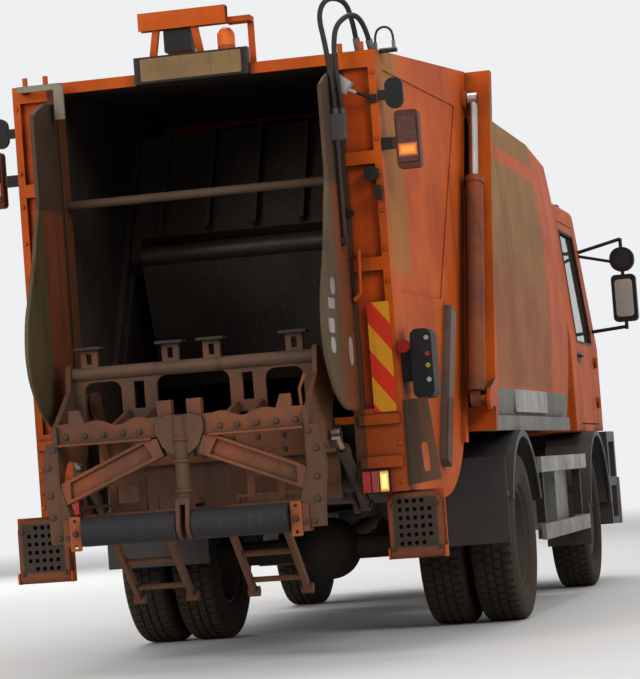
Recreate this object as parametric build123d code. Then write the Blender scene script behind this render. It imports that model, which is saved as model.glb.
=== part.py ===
from build123d import *
import math
import os

# Rear-loading garbage truck on two axles, rear wheels twinned. Units are millimetres.
# X points forward, Y to the left, Z up. The origin is on the ground below the truck's middle.

# Wheels and axles
TYRE_R = 510
TYRE_W = 275
TYRE_BEAD_R = 292
TWIN_GAP = 40
FRONT_AXLE_X = 2890
REAR_AXLE_X = -886
FRONT_TRACK = 2072
REAR_TRACK = 1846
KINGPIN_Y = 860
HUB_R = 130

# Chassis frame
RAIL_OUT = 430
RAIL_W = 80
RAIL_WEB = 12
RAIL_BOTTOM = 700
RAIL_TOP = 970
RAIL_REAR_X = -1900
RAIL_FRONT_X = 4050
SUBFRAME_W = 70

# Load body: a barrel-sided section that tapers towards the cab
BODY_BOTTOM = 1240
BODY_FOOT_HALF = 1190
BODY_BELLY_HALF = 1245
BODY_BELLY_Z = 2250
BODY_EAVE_HALF = 1165
BODY_EAVE_Z = 3090
BODY_CROWN_Z = 3200
BODY_WALL = 50
BODY_FLOOR = 50
BODY_TAPER_X = 840
BODY_FRONT_X = 1990
BODY_TAPER = 40
SILL_RAIL_H = 90
SILL_RAIL_OUT = 20

# Leaning joint between the load body and the tailgate
FACE_FOOT_X = -1950
FACE_FOOT_Z = 1150
FACE_TOP_X = -1150
FACE_TOP_Z = 3330
FACE_GAP = 6
HOOP_W = 90
HOOP_HALF = 1255

# Tailgate
POST_X = -3460
POST_OUT = 1000
POST_IN = 750
POST_D = 125
POST_TOP = 3170
POST_FOOT = 850
TAIL_HALF = 1095
TAIL_INNER = 775
SKIN = 30
BEAM_H = 110
PANEL_D = 6
FLANGE_D = 18
SHIELD_IN = 765
SHIELD_OUT = 785
AMBER_IN = 1083
AMBER_OUT = 1208

# Hopper trough, swept about the lowest place of the packer's hinge
TROUGH_BACK = 850
TROUGH_X = POST_X + TROUGH_BACK
TROUGH_Z = 1650
TROUGH_R = 820
TROUGH_T = 20
SILL_TOP = 1220
SILL_FOOT = 1020
SILL_HALF = 660
SILL_D = 120
BLADE_CLEAR = 22

# Packer: a carriage on slanting guides with a hinged blade below it
GUIDE_ANGLE = 60
CARRIAGE_UP = 750
CARRIAGE_L = 820
CARRIAGE_T = 110
CARRIAGE_HALF = 735
BLADE_T = 80
BLADE_TIP_T = 30
BLADE_REST = 70
BLADE_HALF = 685
BLADE_TUBE_R = 60
BLADE_PIN_R = 30
SHOE_HALF = 45
GUIDE_BAR = 30
SLIDE_GAP = 0.3

# Bin lifter
LIFT_REACH = 120
LIFT_X = POST_X - LIFT_REACH
LIFT_Z = 1420
ARM_OUT = 670
ARM_T = 26
PIVOT_R = 32
PIN_GAP = 0.3
BAR_X = LIFT_X - 270
BAR_Z = 1575
BAR_R = 36
PORTAL_T = 24
PAD_Y = (-548, -110, 110, 548)
PAD_Z = BAR_Z + 125
LINK_Y = (-355, -225, 225, 355)
COMB_X = LIFT_X - 585
COMB_TOP = 1325
COMB_FOOT = 1215
COMB_T = 24
COMB_HALF = 655
COLUMN_FOOT = 712
CROSS_X = LIFT_X - 350
ROLLER_X = LIFT_X - 605
ROLLER_Z = 765
ROLLER_R = 75
ROLLER_HALF = 535
ROLLER_SHAFT_R = 20
LEG_Y = (168, 455)
LEG_TOP = (CROSS_X, 700)
LEG_FOOT = (CROSS_X + 370, 385)

# Cab
CAB_REAR_X = 2540
CAB_FRONT_X = 4150
CAB_FLOOR_Z = 1150
CAB_BELT_Z = 1800
CAB_ROOF_Z = 2890
CAB_HALF = 1150
CAB_ROOF_HALF = 1060
CAB_WALL = 50
DOOR_GAP = 8
DOOR_REAR_X = 2860
DOOR_FRONT_X = 3900
DOOR_FOOT_Z = CAB_FLOOR_Z + CAB_WALL
DOOR_PIN_X = 3882
DOOR_PIN_Y = CAB_HALF + 16
DOOR_PIN_R = 9
DOOR_TOP_Z = 2740
GLASS_IN = 20
GLASS_T = 6
BUMPER_FRONT_X = 4260
BUMPER_HALF = 1245
BUMPER_TOP = 780
BUMPER_H = 360
TOW_X = 4218
TOW_Z = 655
TOW_R = 16

# Foot steps, folded up
STEP_X = POST_X + 77
STEP_Z = 525
STEP_TOP = 840
STEP_T = 45
STEP_IN = 880
STEP_OUT = 1160
STEP_PIN_R = 9

# Tailgate hinge and its lift rams
HINGE_X = FACE_TOP_X + 10
HINGE_Z = FACE_TOP_Z + 75
HINGE_PIN_R = 25
RAM_GAP = 0.3
RAM_Y = 1168
RAM_PIN_R = 24
RAM_FOOT_X = -2040
RAM_FOOT_Z = 1330
RAM_HEAD_X = -1310
RAM_HEAD_Z = 3140
RAM_R = 55
RAM_ROD_R = 28
RAM_BARREL = 1420
RAM_EYE = 56

# Tipping rams of the lifter
TIP_Y = 712
TIP_FOOT_X = POST_X + 300
TIP_FOOT_Z = 790
TIP_HEAD_X = LIFT_X - 180
TIP_HEAD_Z = 1170
TIP_R = 31
TIP_ROD_R = 18
TIP_PIN_R = 20
TIP_BARREL = 560
TIP_RETRACT = 42
TIP_EYE = 44

# Hose loops at the tailgate's top right, from the connector block to the roof fittings
HOSE_R = 14
THIN_HOSE_R = 6.5
HOSE_BLOCK_X = POST_X - 177
HOSE_A = ((POST_X - 190, -806, 2850), (POST_X - 192, -799, 3030), (POST_X - 140, -772, 3200),
          (POST_X - 92, -735, 3370), (POST_X - 38, -775, 3462), (POST_X + 32, -858, 3450),
          (POST_X + 88, -880, 3355), (POST_X + 116, -887, 3255))
HOSE_B = ((POST_X - 162, -838, 2850), (POST_X - 158, -824, 3030), (POST_X - 140, -816, 3200),
          (POST_X - 92, -830, 3310), (POST_X + 2, -900, 3375), (POST_X + 86, -942, 3325),
          (POST_X + 118, -955, 3240))
HOSE_C = ((POST_X + 128, -1085, 3224), (POST_X + 130, -1085, 3280), (POST_X + 134, -1035, 3309),
          (POST_X + 138, -985, 3280), (POST_X + 140, -985, 3224))

# Push plate in the load body
EJECTOR_X = 1100

# Lowest and highest place of the packer's hinge in the side view
PACK_LOW = (TROUGH_X, TROUGH_Z)
PACK_HINGE = (TROUGH_X + CARRIAGE_UP * math.cos(math.radians(GUIDE_ANGLE)),
              TROUGH_Z + CARRIAGE_UP * math.sin(math.radians(GUIDE_ANGLE)))


def face_x(z):
    """X of the leaning joint plane at height z."""
    return FACE_FOOT_X + (z - FACE_FOOT_Z) * (FACE_TOP_X - FACE_FOOT_X) / (FACE_TOP_Z - FACE_FOOT_Z)


def block(x0, x1, y0, y1, z0, z1):
    """A box between two corners."""
    size = (abs(x1 - x0), abs(y1 - y0), abs(z1 - z0))
    middle = ((x0 + x1) / 2, (y0 + y1) / 2, (z0 + z1) / 2)
    return Pos(*middle) * Box(*size)


def loop(place, start, steps):
    """A closed face: each step is a point, or (point on an arc, end point)."""
    edges = []
    at = start
    for step in list(steps) + [start]:
        if isinstance(step[0], tuple):
            edges.append(Edge.make_three_point_arc(place(*at), place(*step[0]), place(*step[1])))
            at = step[1]
        elif step != at:
            edges.append(Edge.make_line(place(*at), place(*step)))
            at = step
    return Face(Wire(edges))


def prism_y(start, steps, y0, y1):
    """Side outline in X and Z, as thick as y0 to y1."""
    face = loop(lambda x, z: Vector(x, y0, z), start, steps)
    return Solid.extrude(face, Vector(0, y1 - y0, 0))


def prism_x(start, steps, x0, x1):
    """Cross outline in Y and Z, as long as x0 to x1."""
    face = loop(lambda y, z: Vector(x0, y, z), start, steps)
    return Solid.extrude(face, Vector(x1 - x0, 0, 0))


def prism_z(start, steps, z0, z1):
    """Plan outline in X and Y, as high as z0 to z1."""
    face = loop(lambda x, y: Vector(x, y, z0), start, steps)
    return Solid.extrude(face, Vector(0, 0, z1 - z0))


def rounded(y0, y1, z0, z1, r, x0, x1):
    """A block along X with rounded corners in the rear view."""
    k = r * (1 - math.sqrt(0.5))
    return prism_x((y0 + r, z0), [(y1 - r, z0), ((y1 - k, z0 + k), (y1, z0 + r)), (y1, z1 - r),
                   ((y1 - k, z1 - k), (y1 - r, z1)), (y0 + r, z1), ((y0 + k, z1 - k), (y0, z1 - r)),
                   (y0, z0 + r), ((y0 + k, z0 + k), (y0 + r, z0))], x0, x1)


def bent_rod(points, radius):
    """A round bar through several points, with round corners."""
    pieces = [rod(a, b, radius) for a, b in zip(points, points[1:])]
    knees = [Pos(*point) * Sphere(radius) for point in points[1:-1]]
    return join(*pieces, *knees)


def rod(start, end, radius):
    """A round bar from one point to another."""
    path = Vector(*end) - Vector(*start)
    return Solid.make_cylinder(radius, path.length, Plane(origin=start, z_dir=path))


def cross_rod(x, z, radius, y0, y1):
    """A round bar along Y."""
    return rod((x, min(y0, y1), z), (x, max(y0, y1), z), radius)


def strut(start, end, y0, y1, width):
    """A flat bar between two points of the side view."""
    dx = end[0] - start[0]
    dz = end[1] - start[1]
    length = math.hypot(dx, dz)
    bar = block(0, length, y0, y1, -width / 2, width / 2)
    return Pos(start[0], 0, start[1]) * Rot(0, -math.degrees(math.atan2(dz, dx)), 0) * bar


def cross_strut(start, end, x0, x1, width):
    """A flat bar between two points of the rear view."""
    dy = end[0] - start[0]
    dz = end[1] - start[1]
    length = math.hypot(dy, dz)
    bar = block(x0, x1, 0, length, -width / 2, width / 2)
    return Pos(0, start[0], start[1]) * Rot(math.degrees(math.atan2(dz, dy)), 0, 0) * bar


def join(*shapes):
    """One solid from shapes that overlap."""
    whole = shapes[0]
    for shape in shapes[1:]:
        whole = whole + shape
    return whole


def cut(shape, *tools):
    """The shape less each tool."""
    for tool in tools:
        shape = shape - tool
    return shape


def mirrored(shape):
    """The same shape on the other side of the truck."""
    return mirror(shape, about=Plane.XZ)


def save(name, *shapes):
    """Write one piece; its solids stay apart."""
    solids = [solid for shape in shapes for solid in shape.solids()]
    whole = solids[0] if len(solids) == 1 else Compound(solids)
    export_step(whole, f"parts/{name}.step")


def turned(profile, x, y, z):
    """A body turned about Y from points of (radius, offset along Y)."""
    face = loop(lambda r, t: Vector(x + r, y + t, z), profile[0], profile[1:])
    return Solid.revolve(face, 360, Axis((x, y, z), (0, 1, 0)))


def tyre(x, y):
    """A smooth tyre with sloping sidewalls and shoulders."""
    # radius, offset from the middle plane
    outline = [(TYRE_BEAD_R, TYRE_W / 2 - 42), (TYRE_BEAD_R + 60, TYRE_W / 2 - 6),
               (TYRE_R - 90, TYRE_W / 2), (TYRE_R - 30, TYRE_W / 2 - 14), (TYRE_R, TYRE_W / 2 - 42)]
    return turned(outline + [(r, -t) for r, t in reversed(outline)], x, y, TYRE_R)


def rim(x, y, side, dish):
    """A disc wheel with hand holes: dish is how far its disc lies out from the middle plane."""
    half = TYRE_W / 2 - 42
    seat = TYRE_BEAD_R - RAM_GAP
    t = 14
    outline = [(seat, -side * half), (seat, side * half), (seat - t, side * half),
               (seat - t, side * (dish + 40)), (seat - 70, side * dish), (HUB_R, side * dish),
               (HUB_R, side * (dish - t)), (seat - 70, side * (dish - t)), (seat - t, side * (dish + 12)),
               (seat - t, -side * half)]
    wheel = turned(outline, x, y, TYRE_R)
    holes = 8
    for index in range(holes):
        angle = 2 * math.pi * index / holes
        middle = (HUB_R + seat - 70) / 2
        hx = x + middle * math.cos(angle)
        hz = TYRE_R + middle * math.sin(angle)
        wheel = wheel - cross_rod(hx, hz, 26, y + side * (dish - 60), y + side * (dish + 60))
    return wheel


def wheels():
    front_y = FRONT_TRACK / 2
    twin_step = (TYRE_W + TWIN_GAP) / 2
    for name, side in (("l", 1), ("r", -1)):
        y = side * front_y
        save(f"tyre_f{name}", tyre(FRONT_AXLE_X, y))
        hub = join(cross_rod(FRONT_AXLE_X, TYRE_R, HUB_R, y - side * 30, y + side * 62),
                   cross_rod(FRONT_AXLE_X, TYRE_R, 80, y + side * 62, y + side * 105))
        save(f"rim_f{name}", join(rim(FRONT_AXLE_X, y, side, 60), hub))
        y = side * REAR_TRACK / 2
        outer = y + side * twin_step
        inner = y - side * twin_step
        save(f"tyres_r{name}", tyre(REAR_AXLE_X, outer), tyre(REAR_AXLE_X, inner))
        hub = join(cross_rod(REAR_AXLE_X, TYRE_R, HUB_R, inner - side * 30, outer - side * 20),
                   cross_rod(REAR_AXLE_X, TYRE_R, 95, outer - side * 20, outer + side * 60))
        rims = [rim(REAR_AXLE_X, outer, side, -40), rim(REAR_AXLE_X, inner, -side, -40)]
        save(f"rims_r{name}", join(*rims, hub))


def knuckles():
    """Steering knuckles: a fork round the axle's end, a spindle and a steering arm."""
    for name, side in (("l", 1), ("r", -1)):
        y = side * KINGPIN_Y
        hub_in = side * (FRONT_TRACK / 2 - 30)
        fork = cut(block(FRONT_AXLE_X - 60, FRONT_AXLE_X + 60, y - side * 50, y + side * 90,
                         TYRE_R - 110, TYRE_R + 110),
                   block(FRONT_AXLE_X - 61, FRONT_AXLE_X + 61, y - side * 51, y + side * 58,
                         TYRE_R - 55.3, TYRE_R + 55.3))
        spindle = cross_rod(FRONT_AXLE_X, TYRE_R, 45, y + side * 80, hub_in - side * RAM_GAP)
        arm = block(FRONT_AXLE_X - 230, FRONT_AXLE_X - 50, y - side * 20, y + side * 20,
                    TYRE_R - 105, TYRE_R - 75)
        save(f"knuckle_{name}", join(fork, spindle, arm))


def chassis_frame():
    """Two channel rails with cross members."""
    parts = []
    for side in (1, -1):
        y_out = side * RAIL_OUT
        y_in = side * (RAIL_OUT - RAIL_W)
        rail = cut(block(RAIL_REAR_X, RAIL_FRONT_X, y_in, y_out, RAIL_BOTTOM, RAIL_TOP),
                   block(RAIL_REAR_X - 1, RAIL_FRONT_X + 1, y_in - side, y_out - side * RAIL_WEB,
                         RAIL_BOTTOM + RAIL_WEB, RAIL_TOP - RAIL_WEB))
        parts.append(rail)
    for x in (RAIL_REAR_X + 40, REAR_AXLE_X - 420, REAR_AXLE_X + 480, 700, 1650, RAIL_FRONT_X - 80):
        web = RAIL_OUT - RAIL_WEB / 2
        parts.append(block(x - 35, x + 35, -web, web, RAIL_TOP - 150, RAIL_TOP - 90))
    for x in (2620, 3990):
        for side in (1, -1):
            parts.append(block(x - 40, x + 40, side * (RAIL_OUT - RAIL_W), side * RAIL_OUT,
                               RAIL_TOP - RAIL_WEB / 2, CAB_FLOOR_Z))
    save("frame", join(*parts))


def subframe():
    """Two bearer rails on the chassis with cross members that carry the load body."""
    half = BODY_FOOT_HALF - 70
    parts = []
    for side in (1, -1):
        parts.append(block(face_x(BODY_BOTTOM) + HOOP_W, BODY_FRONT_X, side * (RAIL_OUT - SUBFRAME_W),
                           side * RAIL_OUT, RAIL_TOP, BODY_BOTTOM))
    for x in (-1650, -1130, -350, 300, 950, 1500, 1900):
        parts.append(block(x - 30, x + 30, -half, half, BODY_BOTTOM - 80, BODY_BOTTOM))
    save("subframe", join(*parts))


def axles():
    """A driven rear axle with its ball-shaped housing and a forged front beam."""
    y_end = REAR_TRACK / 2 - (TYRE_W + TWIN_GAP) / 2 - 30 - RAM_GAP
    ball = Pos(REAR_AXLE_X, 0, TYRE_R) * Sphere(190)
    nose = rod((REAR_AXLE_X, 0, TYRE_R), (REAR_AXLE_X + 300, 0, TYRE_R + 30), 90)
    rear = join(cross_rod(REAR_AXLE_X, TYRE_R, 75, -y_end, y_end), ball, nose)
    drop = 60
    beam = prism_x((-KINGPIN_Y, TYRE_R + 45), [(-700, TYRE_R + 45), (-560, TYRE_R + 45 - drop),
                   (560, TYRE_R + 45 - drop), (700, TYRE_R + 45), (KINGPIN_Y, TYRE_R + 45),
                   (KINGPIN_Y, TYRE_R - 45), (700, TYRE_R - 45), (560, TYRE_R - 45 - drop),
                   (-560, TYRE_R - 45 - drop), (-700, TYRE_R - 45), (-KINGPIN_Y, TYRE_R - 45)],
                   FRONT_AXLE_X - 45, FRONT_AXLE_X + 45)
    eyes = [rod((FRONT_AXLE_X, y, TYRE_R - 55), (FRONT_AXLE_X, y, TYRE_R + 55), 48)
            for y in (-KINGPIN_Y, KINGPIN_Y)]
    save("axles", rear, join(beam, *eyes))


def springs():
    """Leaf springs under the rails, with hangers at both ends."""
    # axle X, seat height, half length, half width, middle Y, leaf pack height
    table = ((FRONT_AXLE_X, TYRE_R - 15, 620, 40, 480, 70),
             (REAR_AXLE_X, TYRE_R + 75, 640, 45, 490, 110))
    solids = []
    for x, seat, half, width, y, pack in table:
        for side in (1, -1):
            y0 = side * y - width
            y1 = side * y + width
            rise = RAIL_BOTTOM + 40
            leaf = prism_y((x - half, rise), [((x, seat + 30), (x + half, rise)), (x + half, rise + 22),
                           ((x, seat + pack + 30), (x - half, rise + 22))], y0, y1)
            seat_block = block(x - 70, x + 70, y0, y1, seat + RAM_GAP, seat + 50)
            hangers = [block(end - 35, end + 35, side * RAIL_OUT, y1 if side > 0 else y0,
                             rise - 20, RAIL_TOP - 60) for end in (x - half, x + half)]
            solids.append(join(leaf, seat_block, *hangers))
    save("springs", *solids)


def driveline():
    """Engine and gearbox as plain blocks, with the propeller shaft."""
    engine = prism_x((-330, 1000), [(-240, 1120), (240, 1120), (330, 1000), (330, 760), (200, 620),
                     (-200, 620), (-330, 760)], 2700, 3900)
    web = RAIL_OUT - RAIL_WEB
    lugs = [block(x - 50, x + 50, -web, web, 790, 850) for x in (2950, 3700)]
    gearbox = prism_x((-200, 900), [(-120, 980), (120, 980), (200, 900), (200, 720), (120, 640),
                      (-120, 640), (-200, 720)], 1980, 2700)
    shaft = rod((1980, 0, 790), (REAR_AXLE_X + 310, 0, TYRE_R + 31), 50)
    save("driveline", join(engine, gearbox, *lugs), shaft)


def tanks():
    """Fuel tank on the left, battery box and air tank on the right."""
    fuel = prism_x((520, 500), [((560, 450), (620, 450)), (1080, 450), ((1130, 470), (1140, 520)),
                   (1140, 900), ((1120, 945), (1080, 950)), (560, 950), ((530, 940), (520, 900))],
                   620, 1780)
    straps = [block(x, x + 50, RAIL_OUT, 560, 760, 960) for x in (800, 1500)]
    battery = join(block(1250, 1850, -1130, -560, 480, 930), block(1400, 1700, -570, -RAIL_OUT, 780, 900))
    air = join(rod((480, -640, 600), (1100, -640, 600), 125), block(750, 830, -640, -RAIL_OUT, 690, 780))
    save("tanks", join(fuel, *straps), battery, air)


def side_guards():
    """Two alloy rails each side on brackets from the frame."""
    solids = []
    for side in (1, -1):
        y_out = side * 1245
        y_in = side * 1215
        rails = [block(-150, 2120, y_in, y_out, z, z + 100) for z in (450, 880)]
        posts = [block(x, x + 50, side * 1160, y_in, 450, 980) for x in (60, 1930)]
        arms = [block(x, x + 50, side * RAIL_OUT, side * 1160, 700, 760) for x in (60, 1930)]
        solids.append(join(*rails, *posts, *arms))
    save("side_guards", *solids)


def arch(x, inner, thick, y0, y1, start, end):
    """A curved mudguard sheet about an axle, between two angles in degrees."""
    def at(radius, angle):
        turn = math.radians(angle)
        return (x + radius * math.cos(turn), TYRE_R + radius * math.sin(turn))
    middle = (start + end) / 2
    outer = inner + thick
    return prism_y(at(inner, start), [(at(inner, middle), at(inner, end)), at(outer, end),
                   (at(outer, middle), at(outer, start))], y0, y1)


def mudguards():
    """Rear arches with side lips and the big flap behind the twin wheels."""
    solids = []
    for side in (1, -1):
        y0 = side * 640
        y1 = side * 1250
        cover = arch(REAR_AXLE_X, 625, 12, y0, y1, 20, 158)
        lip = arch(REAR_AXLE_X, 600, 30, side * 1238, y1, 20, 158)
        flap = block(REAR_AXLE_X - 680, REAR_AXLE_X - 668, side * 600, side * 1230, 490, 1000)
        tie = block(REAR_AXLE_X - 680, REAR_AXLE_X - 560, side * 640, side * 1230, 760, 790)
        stay = block(REAR_AXLE_X - 60, REAR_AXLE_X + 20, side * RAIL_OUT, side * 700, 1075, 1140)
        solids.append(join(cover, lip, flap, tie, stay))
    save("mudguards", *solids)


def body_section(x, inset, shrink):
    """Cross section of the load body, drawn inwards by the wall and by the taper."""
    foot = BODY_FOOT_HALF - inset - shrink
    belly = BODY_BELLY_HALF - inset - shrink
    eave = BODY_EAVE_HALF - inset - shrink
    eave_z = BODY_EAVE_Z - inset - shrink
    crown_z = BODY_CROWN_Z - inset - shrink
    bottom = BODY_BOTTOM + (BODY_FLOOR if inset else 0)
    return loop(lambda y, z: Vector(x, y, z), (-foot, bottom),
                [(foot, bottom), ((belly, BODY_BELLY_Z), (eave, eave_z)),
                 ((0, crown_z), (-eave, eave_z)), ((-belly, BODY_BELLY_Z), (-foot, bottom))])


def behind_face(gap):
    """Everything behind the leaning joint plane, less a gap."""
    low = FACE_FOOT_Z - 600
    high = FACE_TOP_Z + 600
    return prism_y((face_x(low) + gap, low), [(face_x(high) + gap, high), (-9000, high), (-9000, low)],
                   -2000, 2000)


def load_body():
    """Barrel-sided shell, open at the back, with its leaning rear hoop and hinge lugs."""
    length = BODY_TAPER_X - FACE_FOOT_X + 200
    start = BODY_TAPER_X
    outer = Solid.extrude(body_section(start, 0, 0), Vector(-length, 0, 0))
    inner = Solid.extrude(body_section(start + 1, BODY_WALL, 0), Vector(-length - 400, 0, 0))
    hoop = prism_y((face_x(FACE_FOOT_Z), FACE_FOOT_Z), [(face_x(FACE_FOOT_Z) + HOOP_W, FACE_FOOT_Z),
                   (face_x(FACE_TOP_Z) + HOOP_W, FACE_TOP_Z), (face_x(FACE_TOP_Z), FACE_TOP_Z)],
                   -HOOP_HALF, HOOP_HALF)
    lugs = []
    for y in (430, 560, -430, -560):
        lugs.append(cut(prism_y((HINGE_X + 50, FACE_TOP_Z - 20), [(HINGE_X + 50, HINGE_Z),
                        ((HINGE_X, HINGE_Z + 50), (HINGE_X - 50, HINGE_Z)),
                        (HINGE_X + 10, FACE_TOP_Z - 20)], y - 20, y + 20),
                        cross_rod(HINGE_X, HINGE_Z, HINGE_PIN_R + PIN_GAP, y - 21, y + 21)))
    ears = []
    for side in (1, -1):
        y0 = side * (RAM_Y + RAM_R + 12)
        y1 = side * (RAM_Y + RAM_R + 32)
        ear = prism_y((RAM_FOOT_X - 55, RAM_FOOT_Z - 10),
                      [((RAM_FOOT_X, RAM_FOOT_Z - 65), (RAM_FOOT_X + 50, RAM_FOOT_Z - 40)),
                      (face_x(RAM_FOOT_Z) + 40, RAM_FOOT_Z - 60),
                      (face_x(RAM_FOOT_Z) + 60, RAM_FOOT_Z + 120),
                      (RAM_FOOT_X, RAM_FOOT_Z + 60)], y0, y1)
        pin = cross_rod(RAM_FOOT_X, RAM_FOOT_Z, RAM_PIN_R, side * (RAM_Y - 34), y1)
        ears.append(join(ear, pin))
    shell = join(cut(outer, behind_face(0)), hoop)
    shell = join(cut(shell, inner), *lugs, *ears)
    save("body_shell", shell)


def body_front():
    """Tapered front part of the load body with its closed end and two lifting lugs."""
    outer = Solid.make_loft([body_section(BODY_TAPER_X, 0, 0).outer_wire(),
                             body_section(BODY_FRONT_X, 0, BODY_TAPER).outer_wire()], True)
    inner = Solid.make_loft([body_section(BODY_TAPER_X, BODY_WALL, 0).outer_wire(),
                             body_section(BODY_FRONT_X, BODY_WALL, BODY_TAPER).outer_wire()], True)
    keep = block(BODY_TAPER_X - 10, BODY_FRONT_X - BODY_WALL, -2000, 2000, 0, 5000)
    lug_x = BODY_FRONT_X - 290
    lug_z = BODY_CROWN_Z + 20
    lugs = []
    for side in (1, -1):
        y = side * (BODY_EAVE_HALF - 230)
        lug = prism_y((lug_x - 50, BODY_EAVE_Z), [(lug_x - 50, lug_z - 50),
                      ((lug_x, lug_z), (lug_x + 50, lug_z - 50)), (lug_x + 50, BODY_EAVE_Z)], y - 8, y + 8)
        lugs.append(cut(lug, cross_rod(lug_x, lug_z - 42, 20, y - 9, y + 9), inner))
    save("body_front", join(cut(outer, inner & keep), *lugs))


def body_trim():
    """Pale bottom rails of the load body."""
    solids = []
    for side in (1, -1):
        y_out = side * (BODY_FOOT_HALF + SILL_RAIL_OUT)
        solids.append(block(face_x(BODY_BOTTOM) + HOOP_W + 20, BODY_FRONT_X - 330,
                            side * (BODY_FOOT_HALF - 60), y_out, BODY_BOTTOM - SILL_RAIL_H, BODY_BOTTOM))
    save("sill_rails", *solids)


def ejector():
    """Push plate that empties the load body, leaning as the joint plane does."""
    low = BODY_BOTTOM + BODY_FLOOR + SLIDE_GAP
    high = 3000
    foot = EJECTOR_X
    lean = (FACE_TOP_X - FACE_FOOT_X) / (FACE_TOP_Z - FACE_FOOT_Z)
    top = foot + (high - low) * lean
    plate = prism_y((foot, low), [(top, high), (top + 60, high), (foot + 60, low)], -1050, 1050)
    ribs = [prism_y((foot + 50, low), [(foot + 620, low), (foot + 620, low + 120), (top + 50, high - 200),
            (top + 50, high - 60)], y - 20, y + 20) for y in (-700, 700)]
    save("ejector", join(plate, *ribs))


def cab_form(inset):
    """Outer form of the cab, drawn inwards."""
    rear = CAB_REAR_X + inset
    front = CAB_FRONT_X - inset
    floor = CAB_FLOOR_Z + inset
    roof = CAB_ROOF_Z - inset
    side = prism_y((rear, floor), [(front, floor), (front + 10, CAB_BELT_Z), (front - 190, roof - 130),
                   ((front - 225, roof - 40), (front - 330, roof)), (rear + 120, roof),
                   ((rear + 35, roof - 25), (rear, roof - 110))], -CAB_HALF + inset, CAB_HALF - inset)
    half = CAB_HALF - inset
    top = CAB_ROOF_HALF - inset
    cross = prism_x((-half, floor), [(half, floor), (half, CAB_BELT_Z), (top, roof - 60),
                    ((top - 18, roof - 18), (top - 60, roof)), (-top + 60, roof),
                    ((-top + 18, roof - 18), (-top, roof - 60)), (-half, CAB_BELT_Z)], rear - 1, front + 20)
    return side & cross


def door_outline(inset, y0, y1):
    """Door edge in the side view; its front edge follows the windscreen pillar."""
    rear = DOOR_REAR_X + inset
    front = DOOR_FRONT_X - inset
    foot = DOOR_FOOT_Z + inset
    top = DOOR_TOP_Z - inset
    return prism_y((rear, foot), [(front, foot), (front, CAB_BELT_Z + 60), (front - 150, top),
                   (rear + 40, top), ((rear + 11, top - 11), (rear, top - 40))], y0, y1)


def window_outline(y0, y1):
    """Door window in the side view."""
    rear = DOOR_REAR_X + 75
    front = DOOR_FRONT_X - 85
    top = DOOR_TOP_Z - 75
    return prism_y((rear, CAB_BELT_Z + 20), [(front - 20, CAB_BELT_Z + 20), (front, CAB_BELT_Z + 90),
                   (front - 125, top), (rear, top)], y0, y1)


def hinge(side, z):
    """A door hinge: the cab's knuckle with its pin and leaf, and the door's knuckle above it."""
    knuckle = DOOR_PIN_R + 6
    y = side * DOOR_PIN_Y
    skin = side * (CAB_HALF - 4)
    leaf = side * (DOOR_PIN_Y - 4)

    def post(radius, low, high):
        return rod((DOOR_PIN_X, y, low), (DOOR_PIN_X, y, high), radius)
    fixed = join(post(knuckle, z, z + 40), post(DOOR_PIN_R, z + 39, z + 80),
                 block(DOOR_PIN_X, DOOR_FRONT_X + 40, side * (CAB_HALF + 2), leaf, z, z + 40),
                 block(DOOR_FRONT_X + 2, DOOR_FRONT_X + 40, skin, leaf, z, z + 40))
    turning = join(post(knuckle, z + 40.3, z + 80),
                   block(DOOR_PIN_X - 50, DOOR_PIN_X, skin, leaf, z + 40.3, z + 80))
    return fixed, cut(turning, post(DOOR_PIN_R + PIN_GAP, z, z + 90))


def cab():
    """Hollow cab with doors, windows and glass."""
    outer = cab_form(0)
    hollow = cab_form(CAB_WALL)
    walls = cut(outer, hollow)
    screen = prism_x((-1000, CAB_BELT_Z + 40), [(1000, CAB_BELT_Z + 40), (930, CAB_ROOF_Z - 190),
                     (-930, CAB_ROOF_Z - 190)], CAB_FRONT_X - 400, CAB_FRONT_X + 100)
    back = prism_x((-450, 2050), [(450, 2050), (450, 2500), (-450, 2500)], CAB_REAR_X - 10, CAB_REAR_X + 150)
    sides = {1: (900, 1300), -1: (-1300, -900)}
    shell = cut(walls, screen, back, *[door_outline(0, *sides[side]) for side in sides])
    hinges = {side: [hinge(side, z) for z in (DOOR_FOOT_Z + 130, CAB_BELT_Z - 160)] for side in sides}
    shell = join(shell, *[fixed for side in sides for fixed, turning in hinges[side]])
    save("cab_shell", shell)
    pane = cut(cab_form(GLASS_IN), cab_form(GLASS_IN + GLASS_T))
    save("cab_glass", pane & screen, pane & back)
    for name, side in (("l", 1), ("r", -1)):
        door = cut(walls & door_outline(DOOR_GAP, *sides[side]), window_outline(*sides[side]))
        save(f"door_{name}", join(door, *[turning for fixed, turning in hinges[side]]))
        save(f"door_glass_{name}", pane & window_outline(*sides[side]))


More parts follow.
